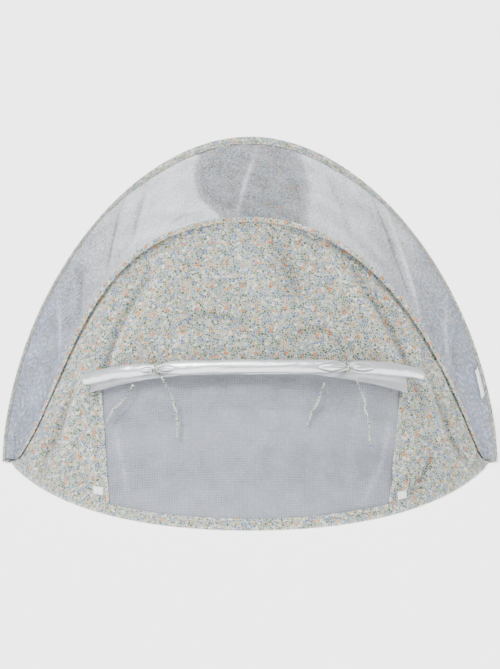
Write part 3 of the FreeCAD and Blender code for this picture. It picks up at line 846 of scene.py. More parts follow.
def columns(edges: Sequence[Array | float], counts: Sequence[int]) -> Array:
    """Spaces places evenly between each pair of edges.

    Args:
        edges: The edges in order, each one number or one for each row.
        counts: How many squares go between each pair.

    Returns:
        One row of places for each row of the edges.
    """
    height = max(np.size(edge) for edge in edges)
    full = [np.broadcast_to(np.asarray(edge, float), (height,)) for edge in edges]
    parts = [full[0][:, None]]
    for first, last, count in zip(full[:-1], full[1:], counts):
        steps = np.arange(1, count + 1) / count
        parts.append(first[:, None] + (last - first)[:, None] * steps)
    return np.concatenate(parts, axis=1)


@dataclass
class Sleeve:
    """A cloth channel sewn round one arc's wire, with a flat seam allowance towards the next panel.

    mouth is half the angle round the wire where the bead opens into the flange, and last is the s where
    the sleeve ends. Where the two arcs are closer than tight_gap the bead is drawn in.
    """

    node: str
    arc: Arc
    toward: Arc
    flange: float
    bead: float = 4.0 * MM
    cloth: float = 0.9 * MM
    thins: bool = False
    seed: int = 1
    stations: int = 420
    points_round: int = 29
    last: float = 0.9995
    mouth: float = math.radians(58)
    tight_gap: float = 60 * MM
    gather_pitch: float = 22 * MM
    wave_pitch: float = 46 * MM

    def frames(self, s: Array) -> tuple[Array, Array]:
        """The way across the flange and the way out of it, square to the arc."""
        ahead = self.arc.ahead(s)
        across = unit(self.toward.at(s) - self.arc.at(s))
        across = unit(across - (across * ahead).sum(-1, keepdims=True) * ahead)
        out = np.cross(across, ahead)
        if self.toward.angle < self.arc.angle:
            out = -out
        return across, out

    def wide(self, s: Array) -> Array:
        """How wide the flange is: one that thins is gathered narrow down both sides."""
        narrow = np.clip((np.abs(s) - 0.22) / 0.26, 0, 1)
        narrow = narrow * narrow * (3 - 2 * narrow) * self.thins
        return self.flange + (self.bead + 2.5 * MM - self.flange) * narrow

    def build(self) -> bpy.types.Object:
        """Sews the sleeve: a round bead over the wire that runs out into a flat flange."""
        s = np.sin(np.linspace(-math.pi / 2, math.pi / 2, self.stations)) * self.last
        path = self.arc.at(s)
        across, out = self.frames(s)
        room = np.linalg.norm(self.toward.at(s) - self.arc.at(s), axis=-1)
        reach = np.minimum(self.wide(s), self.bead + 0.45 * room)
        tuck = np.clip(room / self.tight_gap, 0.55, 1.0)
        angle = np.linspace(-math.pi, math.pi, self.points_round)
        gather = 1 + 0.07 * smooth_noise(np.stack(np.broadcast_arrays(
            run_length(path)[:, None] / self.gather_pitch, angle[None] * 0.8), -1), 1.0, self.seed)
        bead = self.bead * tuck[:, None] * gather
        flat = np.abs(angle) < self.mouth
        edge = np.clip(1 - np.abs(angle) / self.mouth, 0, 1)[None]
        wave = 0.9 * MM * smooth_noise(run_length(path)[:, None], self.wave_pitch, self.seed + 5)[:, None]
        deep = bead * np.cos(angle) + (reach[:, None] - bead) * edge ** 0.55 * flat
        side = np.where(flat, np.sign(angle) * self.cloth * (0.9 + 0.4 * (1 - edge)), 0.0)
        high = np.where(flat, side + (bead * np.sin(angle) - side) * (1 - edge) ** 3, bead * np.sin(angle))
        high = high + wave * edge
        section = np.stack([deep, high], -1)
        section[:, -1] = section[:, 0]
        # Painted shade: darker where the bead runs into the flange and down the gathered sides of a sleeve
        # that thins, and a painted shadow along the bottom where the sleeve meets the ground.
        shut = np.clip((np.abs(s) - 0.25) / 0.25, 0, 1)[:, None] * self.thins
        tone_and_shade = np.clip(edge * (1 - edge) + 0.45 * shut * edge ** 0.5 + 0.15 * shut, 0, 1)
        height = (path[:, None] + across[:, None] * deep[..., None] + out[:, None] * high[..., None])[..., 2]
        tone_and_shade = np.clip(tone_and_shade + 1.2 * np.clip(1 - height / (3 * MM), 0, 1), 0, 1)
        piece = sweep_object(self.node + "_cloth", path, across, out, section, Finish.PRINT,
                             fields={"painted_shade": tone_and_shade})
        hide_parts(self.node)
        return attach(piece, self.arc.body.value)

    def sew(self) -> bpy.types.Object:
        """Sews the line of stitches that holds the wire in its channel."""
        s = np.linspace(-0.97, 0.97, 500)
        across, out = self.frames(s)
        line = self.arc.at(s) + across * (self.bead + 1.6 * MM) + out * (self.cloth + 0.5 * MM)
        piece = stitches(self.node + "_stitches", line, out)
        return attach(piece, self.arc.body.value)


@dataclass
class WindowShape:
    """The opening in the front panel, under the rolled cover."""

    left: tuple[float, float] = (-0.455, -0.412)
    right: tuple[float, float] = (0.483, 0.406)
    roll_middle: float = 0.503
    roll_ends: tuple[tuple[float, float], tuple[float, float]] = ((-0.485, 0.410), (0.528, 0.355))
    hem: float = 17 * MM

    def roll(self, s: Array) -> Array:
        """The height of the roll on the panel: highest w in the middle, falling off to its ends."""
        ends = [np.full(np.shape(s), e[1]) for e in self.roll_ends]
        reach = [np.asarray(s) / e[0] for e in self.roll_ends]
        drop = [(end - self.roll_middle) * r ** 2 for end, r in zip(ends, reach)]
        return self.roll_middle + np.where(np.asarray(s) < 0, drop[0], drop[1])

    def foot(self, s: Array) -> Array:
        """Where the ground hem begins."""
        return 1 - self.hem / np.maximum(FRONT.depth(s), 2 * self.hem)

    def side(self, which: tuple[float, float], share: Array) -> Array:
        """A side edge's s, from the top at share 0 to the foot at 1."""
        return which[0] + (which[1] - which[0]) * share

    def grid(self, margin: float, counts: tuple[int, int, int],
             rows: tuple[int, int, int]) -> tuple[Array, Array, Array]:
        """Lines that follow the opening, for the whole panel.

        Args:
            margin: How far from the corners the cloth stops, in s.
            counts: Squares to the left of the opening, across it and to its right.
            rows: Squares above the opening, down it and below it.

        Returns:
            s and w by row and column, and which squares are the opening.
        """
        share = np.concatenate([np.zeros(rows[0]), np.linspace(0, 1, rows[1] + 1), np.ones(rows[2])])
        edge = 1 - margin
        s = columns([-edge, self.side(self.left, share), self.side(self.right, share), edge], counts)
        top = np.minimum(self.roll(s[rows[0]]), self.foot(s[rows[0]]) - 0.02)
        down = columns([0.0, top, self.foot(s[-1]), 1.0], rows).T
        hole = np.zeros((sum(rows), sum(counts)), bool)
        hole[rows[0]:rows[0] + rows[1], counts[0]:counts[0] + counts[1]] = True
        return s, down, hole


@dataclass
class FrontPanel:
    """The printed front: one cut of cloth with an opening, bound round its edge and hemmed at the ground.

    sink_at and groove_at are distances from the arch: the cloth dips at the first and gets a painted shade
    round the second. A fold as high as full_fold gets no painted shade, and one as deep gets the full painted
    shade.
    """

    window: WindowShape = field(default_factory=WindowShape)
    cloth: float = 0.9 * MM
    margin: float = 0.003
    across: tuple[int, int, int] = (96, 130, 96)
    rows: tuple[int, int, int] = (66, 60, 5)
    sink: float = 4.5 * MM
    sink_at: float = 15 * MM
    groove_at: float = 14 * MM
    groove_width: float = 9 * MM
    full_fold: float = 4 * MM
    folds: tuple[Fold, ...] = (
        Fold(((0.20, 0.06), (0.36, 0.20), (0.54, 0.42)), 7.5, 16),
        Fold(((0.27, 0.03), (0.45, 0.22), (0.62, 0.50)), -6.0, 15),
        Fold(((-0.25, 0.10), (-0.38, 0.25), (-0.50, 0.50)), -6.8, 14),
        Fold(((-0.17, 0.08), (-0.30, 0.22), (-0.43, 0.40)), 6.0, 18),
        Fold(((-0.60, 0.30), (-0.68, 0.55), (-0.78, 0.80)), -6.0, 16),
        Fold(((-0.53, 0.28), (-0.60, 0.55), (-0.66, 0.85)), 6.0, 16),
        Fold(((0.50, 0.10), (0.60, 0.40), (0.70, 0.75)), 5.2, 18),
        Fold(((0.62, 0.25), (0.72, 0.55), (0.84, 0.85)), -5.2, 14),
        Fold(((-0.22, 0.40), (-0.12, 0.36), (-0.03, 0.40)), 3.8, 8),
        Fold(((-0.20, 0.35), (-0.10, 0.31), (0.02, 0.36)), -3.8, 8),
        Fold(((0.10, 0.38), (0.20, 0.34), (0.30, 0.40)), -3.8, 9),
        Fold(((0.06, 0.30), (0.00, 0.18), (-0.05, 0.05)), 3.8, 20),
        Fold(((0.13, 0.28), (0.10, 0.16), (0.06, 0.04)), -3.8, 18),
        Fold(((-0.52, 0.60), (-0.47, 0.85), (-0.44, 0.98)), 3.8, 9),
        Fold(((0.16, 0.99), (0.36, 0.955), (0.47, 0.80), (0.52, 0.70)), 6.8, 9),
        Fold(((0.47, 0.97), (0.56, 0.85), (0.62, 0.70)), -4.5, 9),
        Fold(((-0.90, 0.60), (-0.84, 0.80), (-0.76, 0.97)), 4.5, 9),
        Fold(((-0.93, 0.45), (-0.87, 0.70), (-0.80, 0.95)), -4.5, 8),
        Fold(((0.92, 0.50), (0.86, 0.75), (0.78, 0.96)), 4.5, 9),
        Fold(((0.94, 0.40), (0.90, 0.65), (0.83, 0.93)), -4.5, 8),
    )

    def surface(self, s: Array, w: Array) -> Array:
        """The cloth's outer face, with its folds and the sunken edge inside the arch."""
        lift, _ = FRONT.folded(s, w, self.folds)
        gap = w * FRONT.depth(s)
        sunk = -self.sink * np.exp(-((gap - self.sink_at) / self.groove_width) ** 2)
        sunk = sunk * np.clip(0.25 + 1.5 * np.abs(s), 0, 1)
        sunk = sunk - 1.0 * MM * np.exp(-gap / (30 * MM))
        rough = 0.9 * MM * smooth_noise(FRONT.flat(s, w), 90 * MM, 3)
        rough = rough + 0.35 * MM * smooth_noise(FRONT.flat(s, w), 30 * MM, 4)
        calm = np.clip((1 - w) * FRONT.depth(s) / (25 * MM), 0.15, 1)
        return FRONT.at(s, w) + ((lift + rough) * calm + sunk)[..., None] * FRONT.outward(s, w)

    def build(self) -> bpy.types.Object:
        """Cuts and sews the panel."""
        s, w, hole = self.window.grid(self.margin, self.across, self.rows)
        gap = w * FRONT.depth(s)
        # Painted shade: a soft band in the groove inside the arch, stronger down the sides, more towards the
        # corners, and over the folds a light base shade that is lighter on ridges, a painted highlight, and
        # darker in valleys.
        groove = np.exp(-((gap - self.groove_at) / self.groove_width) ** 2)
        groove = groove * np.clip(0.25 + 1.6 * np.abs(s), 0, 0.75)
        corner = np.clip((np.abs(s) - 0.90) / 0.1, 0, 1) * 0.3
        lift = FRONT.folded(s, w, self.folds)[0] / self.full_fold
        fold_light_and_shade = 0.28 - 0.28 * np.clip(lift, 0, 1) + 0.52 * np.clip(-lift, 0, 1)
        piece = grid_object("front_panel_cloth", self.surface(s, w), FRONT.flat(s, w), Finish.PRINT,
                            hole=hole, fields={"painted_shade": np.clip(groove + corner + fold_light_and_shade, 0, 1)})
        thicken(piece, self.cloth)
        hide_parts("front_panel")
        FRONT.bend(piece)
        return piece

    def edge(self) -> tuple[Array, Array]:
        """The opening's side and foot edge as one line of s and w, from top left round to top right."""
        share = np.linspace(0, 1, 90)
        left = self.window.side(self.window.left, share)
        right = self.window.side(self.window.right, share)
        foot = np.linspace(left[-1], right[-1], 160)
        tops = [self.window.roll(row[0]) for row in (left, right)]
        feet = [self.window.foot(row[-1]) for row in (left, right)]
        s = np.concatenate([left, foot[1:-1], right[::-1]])
        w = np.concatenate([tops[0] + (feet[0] - tops[0]) * share, self.window.foot(foot[1:-1]),
                            (tops[1] + (feet[1] - tops[1]) * share)[::-1]])
        return s, w

    def bind(self) -> list[bpy.types.Object]:
        """Binds the opening with a folded tape and sews it on."""
        s, w = self.edge()
        line, out = self.surface(s, w), FRONT.outward(s, w)
        ahead = unit(np.gradient(line, axis=0))
        side = unit(np.cross(out, ahead))
        half, rise = 4.2 * MM, 1.5 * MM
        turn = np.linspace(0, math.tau, 17)
        section = np.stack([np.sign(np.cos(turn)) * half * np.abs(np.cos(turn)) ** 0.5,
                            rise * np.sin(turn)], -1)
        section = np.broadcast_to(section, (len(line), 17, 2))
        binding = sweep_object("window_binding", line, side, out, section, Finish.PRINT)
        sewn = stitches("window_stitches", line - side * 2.6 * MM + out * (rise * 0.8), out)
        for piece in (binding, sewn):
            FRONT.bend(piece)
        return [binding, sewn]


@dataclass
class TopMesh:
    """The net roof, gathered into the two arches: thinner in the middle, and beyond denser and lighter with a
    painted highlight.
    """

    stations: int = 420
    rows: int = 72
    last: float = 0.992
    left_edge: tuple[tuple[float, ...], tuple[float, ...]] = (
        (0.0, 0.3, 0.62, 1.0), (-0.135, -0.147, -0.12, -0.046))
    right_edge: tuple[tuple[float, ...], tuple[float, ...]] = ((0.0, 0.4, 1.0), (0.115, 0.15, 0.135))
    folds: tuple[Fold, ...] = (
        Fold(((-0.135, 0.02), (-0.147, 0.30), (-0.12, 0.62), (-0.046, 0.98)), -6.0, 9, 0.08),
        Fold(((0.115, 0.02), (0.15, 0.45), (0.135, 0.98)), 4.0, 8, 0.10),
        Fold(((0.02, 0.10), (-0.01, 0.50), (-0.03, 0.95)), 3.5, 6, 0.30),
        Fold(((0.36, 0.06), (0.44, 0.40), (0.53, 0.85)), -5.0, 5, -0.26),
        Fold(((0.40, 0.06), (0.49, 0.45), (0.58, 0.90)), 5.0, 9, 0.22),
        Fold(((0.22, 0.15), (0.27, 0.45), (0.30, 0.80)), -3.0, 12, -0.12),
        Fold(((-0.30, 0.10), (-0.33, 0.45), (-0.34, 0.80)), -5.0, 9, -0.20),
        Fold(((-0.38, 0.08), (-0.42, 0.45), (-0.44, 0.80)), -4.0, 5, -0.22),
        Fold(((-0.21, 0.86), (-0.17, 0.80), (-0.12, 0.84)), -3.0, 8, -0.16),
        Fold(((-0.54, 0.15), (-0.55, 0.50), (-0.58, 0.85)), -4.0, 9, -0.14),
        Fold(((-0.62, 0.15), (-0.65, 0.50), (-0.70, 0.90)), 4.0, 8, 0.14),
        Fold(((0.70, 0.10), (0.72, 0.50), (0.78, 0.90)), -4.0, 8, -0.12),
        Fold(((0.64, 0.10), (0.67, 0.50), (0.72, 0.90)), 4.0, 9, 0.16),
    )

    def surface(self, s: Array, w: Array) -> Array:
        """The net's middle: it sags a little between the arches."""
        lift, _ = ROOF.folded(s, w, self.folds)
        slack = -10 * MM * np.sin(np.pi * w) * np.cos(np.pi * s / 2)
        rough = 1.8 * MM * smooth_noise(ROOF.flat(s, w), 130 * MM, 11) * np.sin(np.pi * w)
        return ROOF.at(s, w) + (lift + slack + rough)[..., None] * ROOF.outward(s, w)

    def build(self) -> bpy.types.Object:
        """Hangs the net."""
        s = np.linspace(-self.last, self.last, self.stations)
        s = np.broadcast_to(s, (self.rows, self.stations))
        w = np.broadcast_to(np.linspace(0.0, 1.0, self.rows)[:, None], s.shape)
        _, veil = ROOF.folded(s, w, self.folds)
        # Beyond its two long edges the net is made denser and given a painted highlight; low at the sides it
        # is made denser with a painted shade.
        left, right = np.interp(w, *self.left_edge), np.interp(w, *self.right_edge)
        haze_and_highlight = np.clip((left - s) / 0.016, 0, 1) + np.clip((s - right) / 0.03, 0, 1) * 0.85
        fade = np.clip((0.62 - np.abs(s)) / 0.34, 0, 1)
        low = np.clip((np.abs(s) - 0.45) / 0.25, 0, 1)
        rim = np.exp(-(np.minimum(w, 1 - w) * ROOF.depth(s) / (6 * MM)) ** 2)
        cloudy = smooth_noise(ROOF.flat(s, w), 90 * MM, 8)
        streaks = smooth_noise(np.stack([s * 22, w * 1.1 + s * 6], -1), 1.0, 9)
        cover = veil + 0.40 * haze_and_highlight * fade + 0.26 * low * (1 + 0.4 * streaks) + 0.3 * rim + 0.05 * cloudy
        # Base thread tone, painted highlight on folds and beyond the edges, painted shade low at the sides.
        tone_and_painted_light = 0.42 + veil * 1.5 + haze_and_highlight * fade * (0.42 + 0.12 * streaks + 0.08 * cloudy)
        tone_and_painted_light = tone_and_painted_light - 0.36 * low * (1 + 0.5 * streaks)
        piece = grid_object("top_mesh_net", self.surface(s, w), ROOF.flat(s, w), Finish.ROOF_NET,
                            fields={"veil": np.clip(cover, 0, 1), "tone_and_painted_light": np.clip(tone_and_painted_light, 0, 1)})
        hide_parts("top_mesh")
        ROOF.bend(piece)
        return piece


@dataclass
class WindowMesh:
    """The net across the window, sewn in behind the front panel."""

    window: WindowShape = field(default_factory=WindowShape)
    inset: float = 2.0 * MM
    lap: float = 0.018
    folds: tuple[Fold, ...] = (
        Fold(((-0.40, 0.60), (-0.36, 0.80), (-0.33, 0.97)), 2.5, 8, 0.10),
        Fold(((0.44, 0.55), (0.38, 0.80), (0.30, 0.98)), 3.0, 8, 0.12),
        Fold(((0.10, 0.55), (0.02, 0.75), (-0.08, 0.95)), 1.5, 14, 0.05),
        Fold(((0.33, 0.50), (0.28, 0.70), (0.26, 0.94)), -2.0, 12, 0.05),
    )

    def build(self) -> bpy.types.Object:
        """Stretches the net over the opening."""
        share = np.linspace(0, 1, 90)
        s = columns([self.window.side(self.window.left, share) - self.lap,
                     self.window.side(self.window.right, share) + self.lap], [150])
        top = self.window.roll(s) - 0.015
        w = top + (self.window.foot(s) + 0.012 - top) * share[:, None]
        lift, veil = FRONT.folded(s, w, self.folds)
        slack = 3 * MM * smooth_noise(FRONT.flat(s, w), 160 * MM, 21)
        inner = np.sin(np.pi * np.clip((share[:, None] - 0.02) / 0.96, 0, 1))
        points = FRONT.at(s, w) + ((lift + slack) * inner - self.inset)[..., None] * FRONT.outward(s, w)
        shade = 0.05 * smooth_noise(FRONT.flat(s, w), 110 * MM, 22)
        # The folds get a painted highlight.
        piece = grid_object("window_net", points, FRONT.flat(s, w), Finish.WINDOW_NET,
                            fields={"veil": np.clip(veil + shade, 0, 1), "tone_and_painted_light": np.clip(veil, 0, 1)})
        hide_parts("window_mesh")
        FRONT.bend(piece)
        return piece


@dataclass
class RearPanel:
    """The printed back with an arched doorway, bound round its edge, and a woven label inside."""

    door_width: float = 440 * MM
    sill: float = 112 * MM
    wall: float = 170 * MM
    rise: float = 180 * MM
    cloth: float = 0.9 * MM
    tape: float = 16 * MM
    label: tuple[float, float] = (112 * MM, 14 * MM)
    last: float = 0.997
    across: tuple[int, int, int] = (70, 84, 70)
    rows: tuple[int, int, int] = (18, 70, 60)

    def outline(self, count: int = 60) -> Array:
        """The doorway's edge in x and z: up the right side, over the arch, down the left, along the sill."""
        half, spring = self.door_width / 2, self.sill + self.wall
        turn = np.linspace(0, math.pi, count)
        arch = np.stack([half * np.cos(turn), spring + self.rise * np.sin(turn)], -1)
        up = np.stack([np.full(20, half), np.linspace(self.sill, spring, 20)], -1)[:-1]
        down = np.stack([np.full(20, -half), np.linspace(spring, self.sill, 20)], -1)[1:]
        sill = np.stack([np.linspace(-half, half, 40), np.full(40, self.sill)], -1)[1:]
        return np.concatenate([up, arch, down, sill])

    def surface(self, s: Array, w: Array) -> Array:
        """The cloth's outer face with soft pulls from the doorway's corners to the arches."""
        pulls = tuple(
            Fold(((a, 0.30), ((a + b) / 2, 0.45), (b, 0.80)), h, 16)
            for a, b, h in ((-0.55, -0.68, 4.0), (-0.46, -0.52, -4.0), (0.48, 0.60, 4.0), (0.56, 0.74, -4.0),
                            (0.34, 0.33, -3.0), (-0.34, -0.36, 3.0)))
        lift, _ = BACK.folded(s, w, pulls)
        rough = 2.0 * MM * smooth_noise(BACK.flat(s, w), 170 * MM, 31)
        rough = rough + 0.5 * MM * smooth_noise(BACK.flat(s, w), 45 * MM, 32)
        calm = np.clip(np.minimum(w, 1 - w) * BACK.depth(s) / (30 * MM), 0.1, 1)
        return BACK.at(s, w) + ((lift + rough) * calm)[..., None] * BACK.outward(s, w)

    def build(self) -> list[bpy.types.Object]:
        """Cuts the panel with its doorway and binds the doorway's edge."""
        half, spring = self.door_width / 2, self.sill + self.wall
        across, rows = self.across, self.rows
        x = np.linspace(-half, half, across[1] + 1)
        arch = spring + self.rise * np.sqrt(np.clip(1 - (x / half) ** 2, 0, 1))
        sill_line = BACK.find(x, np.full(x.shape, self.sill))
        share = np.concatenate([np.zeros(rows[0]), np.linspace(0, 1, rows[1] + 1), np.ones(rows[2])])
        heights = self.sill + (arch[None] - self.sill) * share[:, None]
        s_mid, w_mid = BACK.find(np.broadcast_to(x, heights.shape), heights)
        w_mid[:rows[0]] = sill_line[1] * np.linspace(0, 1, rows[0] + 1)[:-1, None]
        over = np.linspace(0, 1, rows[2] + 1)[1:, None]
        w_mid[rows[0] + rows[1] + 1:] = w_mid[rows[0] + rows[1]] + (1 - w_mid[rows[0] + rows[1]]) * over
        s_left = columns([-self.last, s_mid[:, 0]], [across[0]])[:, :-1]
        s_right = columns([s_mid[:, -1], self.last], [across[2]])[:, 1:]
        w_left = np.broadcast_to(w_mid[:, :1], s_left.shape)
        w_right = np.broadcast_to(w_mid[:, -1:], s_right.shape)
        s = np.concatenate([s_left, s_mid, s_right], axis=1)
        w = np.concatenate([w_left, w_mid, w_right], axis=1)
        hole = np.zeros((sum(rows), sum(across)), bool)
        hole[rows[0]:rows[0] + rows[1], across[0]:across[0] + across[1]] = True
        # Painted shade along the panel's edges beside the two arcs.
        edge = np.exp(-(np.minimum(w, 1 - w) * BACK.depth(s) / (9 * MM)) ** 2) * 0.5
        panel = grid_object("rear_panel_cloth", self.surface(s, w), BACK.flat(s, w), Finish.PRINT,
                            hole=hole, fields={"painted_shade": edge})
        thicken(panel, self.cloth)
        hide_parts("rear_panel")
        BACK.bend(panel)
        return [panel, *self.bind()]

    def bind(self) -> list[bpy.types.Object]:
        """Folds a tape over the doorway's edge and sews it on with one row of stitches."""
        marks = self.outline()
        s, w = BACK.find(marks[:, 0], marks[:, 1])
        line, out = self.surface(s, w), BACK.outward(s, w)
        ahead = unit(np.roll(line, -1, axis=0) - np.roll(line, 1, axis=0))
        side = unit(np.cross(out, ahead))
        turn = np.linspace(0, math.tau, 21)
        pucker = 1 + 0.05 * smooth_noise(run_length(line)[:, None], 30 * MM, 5)
        flat = np.sign(np.cos(turn)) * self.tape / 2 * np.abs(np.cos(turn)) ** 0.4
        section = np.stack(np.broadcast_arrays(flat[None] * pucker[:, None],
                                               (2.0 * MM * np.sin(turn))[None]), -1)
        binding = sweep_object("doorway_binding_tape", line, side, out, section, Finish.BINDING)
        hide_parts("doorway_binding")
        sewn = stitches("doorway_stitches", line - side * self.tape * 0.36 + out * 1.5 * MM, out)
        for piece in (binding, sewn):
            BACK.bend(piece)
        return [binding, sewn]

    def sew_label(self) -> bpy.types.Object:
        """Sews the blank woven label to the inside, low in the middle."""
        low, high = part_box("care_label")
        x = np.linspace(low.x, high.x, 40)
        z = np.linspace(low.z, high.z, 8)[:, None]
        xs, zs = np.broadcast_arrays(x, z)
        s, w = BACK.find(xs, zs)
        curl = 1.2 * MM * smooth_noise(np.stack([xs, zs], -1), 60 * MM, 7)
        points = self.surface(s, w) - (6.0 * MM + curl[..., None]) * BACK.outward(s, w)
        piece = grid_object("care_label_tape", points, BACK.flat(s, w), Finish.TAPE)
        thicken(piece, 0.5 * MM)
        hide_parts("care_label")
        BACK.bend(piece)
        return piece


@dataclass
class Floor:
    """Half of the floor: thin coated cloth inside one ground arc, creased along the fold line."""

    node: str
    arc: Arc
    forward: bool
    seed: int

    def build(self) -> bpy.types.Object:
        """Lays the half floor, slack enough to show a few ripples."""
        reach = ARC_REAR_GROUND.height - 4 * MM
        s = np.sin(np.linspace(-math.pi / 2, math.pi / 2, 150)) * 0.995
        edge = self.arc.at(s)
        share = np.linspace(0.0, 0.985, 60)[:, None]
        y = edge[None, :, 1] * share
        x = np.broadcast_to(edge[None, :, 0], y.shape)
        ripple = smooth_noise(np.stack([x, y], -1), 210 * MM, self.seed) * 0.5 + 0.5
        z = 1.2 * MM + 2.4 * MM * ripple * np.sin(np.pi * share) * np.clip(np.abs(y) / (0.2 * reach), 0, 1)
        points = np.stack([x, y, z], -1)[::-1] if self.forward else np.stack([x, y, z], -1)
        piece = grid_object(self.node + "_cloth", points, points[..., :2].copy(), Finish.FLOOR)
        thicken(piece, 1.0 * MM)
        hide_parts(self.node)
        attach(piece, self.arc.body.value)
        return piece


@dataclass
class Cover:
    """The window's cover, rolled up silver side out and tied, with its lower edge hanging loose."""

    window: WindowShape = field(default_factory=WindowShape)
    radius: float = 16.5 * MM
    core: float = 4.5 * MM
    turns: float = 3.55
    stand: float = 8 * MM
    ties: tuple[float, float] = (-0.226, 0.252)
    drops: tuple[float, float] = (14 * MM, 32 * MM)
    flap_end: float = 0.915
    facing: float = 0.26
    pleats: tuple[tuple[int, int, float, float], ...] = (
        (1, -1, 70 * MM, 11.0 * MM), (1, 1, 62 * MM, 9.5 * MM), (0, 1, 44 * MM, 8.0 * MM),
        (0, -1, 34 * MM, 7.0 * MM))
    stations: int = 430
    round_squares: tuple[int, int] = (70, 110)
    outer_turns: float = 1.15
    tie_width: float = 0.026
    tie_squeeze: float = 0.34
    end_squeeze: float = 0.26
    end_taper: float = 110 * MM
    flap_stations: int = 260
    flap_rows: int = 24
    flap_drop: float = 9 * MM

    def line(self, s: Array, out: float) -> Array:
        """The roll's line, at a distance out from the front panel."""
        w = self.window.roll(s)
        return FRONT.at(s, w) + out * FRONT.outward(s, w)

    def pinch(self, s: Array) -> Array:
        """How much the ties draw the roll in, from 0 to 1."""
        return sum(np.exp(-((s - tie) / self.tie_width) ** 2) for tie in self.ties)

    def pleated(self, s: Array, far: Array, spin: Array) -> tuple[Array, Array]:
        """Lens-shaped pleats that run out from each tie along the front of the roll.

        Args:
            s: Places along the roll.
            far: The same places as distances, in metres.
            spin: The direction round the roll, by place along it and point round it.

        Returns:
            How far each point is lifted, in metres, and how much painted shade it gets, from 0 to 1.
        """
        turn = (spin - self.facing + math.pi) % math.tau - math.pi
        across = turn * self.radius
        lift, dark = np.zeros(spin.shape), np.zeros(spin.shape)
        for tie, way, length, half in self.pleats:
            share = (far - np.interp(self.ties[tie], s, far)) * way / length
            inside = ((share > 0) & (share < 1))[:, None]
            bow = np.sin(np.pi * np.clip(share, 0, 1))[:, None] ** 0.8
            rim = np.exp(-((np.abs(across) - half * bow) / (1.7 * MM)) ** 2)
            fill = np.clip(1 - np.abs(across) / (half * bow + 0.1 * MM), 0, 1) ** 0.5
            slit = np.exp(-(across / (1.6 * MM)) ** 2) * np.clip(1 - share * 1.7, 0, 1)[:, None]
            lift += inside * (1.8 * fill * bow - 3.2 * rim * bow ** 0.5 - 2.6 * slit) * MM
            # Painted shade along the pleats' rims and in the slits.
            dark += inside * (0.8 * rim * bow ** 0.5 + 0.7 * slit)
        return lift, np.clip(dark, 0, 1)

    def build(self) -> list[bpy.types.Object]:
        """Rolls the cover and hangs its loose edge."""
        low, high = self.window.roll_ends[0][0], self.window.roll_ends[1][0]
        s = np.linspace(low, high, self.stations)
        middle = self.line(s, self.stand + self.radius)
        ahead = unit(np.gradient(middle, axis=0))
        out = FRONT.outward(s, self.window.roll(s))
        down = unit(np.cross(ahead, out))
        far = run_length(middle)
        outer = math.tau * self.outer_turns
        angle = columns([0.0, self.turns * math.tau - outer, self.turns * math.tau], self.round_squares)[0]
        share = angle / angle[-1]
        end = np.clip(1 - np.minimum(far, far[-1] - far) / self.end_taper, 0, 1)[:, None]
        tight = 1 - self.tie_squeeze * self.pinch(s)[:, None] - self.end_squeeze * end ** 1.5
        reach = (self.core + (self.radius - self.core) * share)[None] * tight
        place = np.stack(np.broadcast_arrays(far[:, None] * 0.5, np.cos(angle)[None] * self.radius,
                                             np.sin(angle)[None] * self.radius), -1)
        dents = smooth_noise(place, 30 * MM, 41) * 0.7 * MM + smooth_noise(place, 13 * MM, 42) * 0.25 * MM
        spin = angle[None] + 0.35 * smooth_noise(far[:, None], 300 * MM, 43)[:, None] - math.pi * 0.75
        last = np.clip(share * 3 - 2, 0, 1)[None]
        lift, dark = self.pleated(s, far, spin)
        reach = reach + (dents * share[None] ** 2 + lift * last)
        # Painted shade on the underside of the roll.
        under = np.clip(np.sin(spin) - 0.1, 0, 1) * 0.5
        squash = 1 + 0.07 * smooth_noise(far[:, None], 150 * MM, 44)[:, None] + 0.10 * end
        points = (middle[:, None] + (reach * np.cos(spin) / squash)[..., None] * out[:, None]
                  + (reach * np.sin(spin) * squash)[..., None] * down[:, None])
        around = angle * (self.core + (self.radius - self.core) * share / 2)
        uv = np.stack(np.broadcast_arrays(far[:, None], around[None]), -1)
        roll = grid_object("cover_roll_cloth", points, uv, Finish.SILVER,
                           fields={"painted_shade": np.clip(dark + under, 0, 1)})
        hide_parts("cover_roll")
        pieces = [roll, self.hang()]
        for piece in pieces:
            FRONT.bend(piece)
        return pieces

    def hang(self) -> bpy.types.Object:
        """The loose lower edge: a strip from the back of the roll, deepest at its two ends."""
        low, high = self.window.roll_ends[0][0], self.window.roll_ends[1][0]
        s = np.linspace(low, high * self.flap_end, self.flap_stations)
        left = self.drops[0] * np.clip((s / low - 0.35) / 0.5, 0, 1)
        right = self.drops[1] * np.clip((s / high - 0.30) / 0.58, 0, 1)
        drop = self.flap_drop + np.where(s < 0, left, right)
        share = np.linspace(0, 1, self.flap_rows)[:, None]
        w = self.window.roll(s) + share * (drop + 4 * MM) / FRONT.depth(s)
        lift = 6 * MM + 5 * MM * np.sin(np.pi * share * 0.5)
        wave = 1.6 * MM * smooth_noise(FRONT.flat(np.broadcast_to(s, w.shape), w), 60 * MM, 47) * share
        grid = np.broadcast_to(s, w.shape)
        points = FRONT.at(grid, w) + (lift + wave)[..., None] * FRONT.outward(grid, w)
        piece = grid_object("cover_flap_cloth", points, FRONT.flat(grid, w), Finish.SILVER)
        thicken(piece, 0.6 * MM, 0.0)
        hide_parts("cover_flap")
        return piece


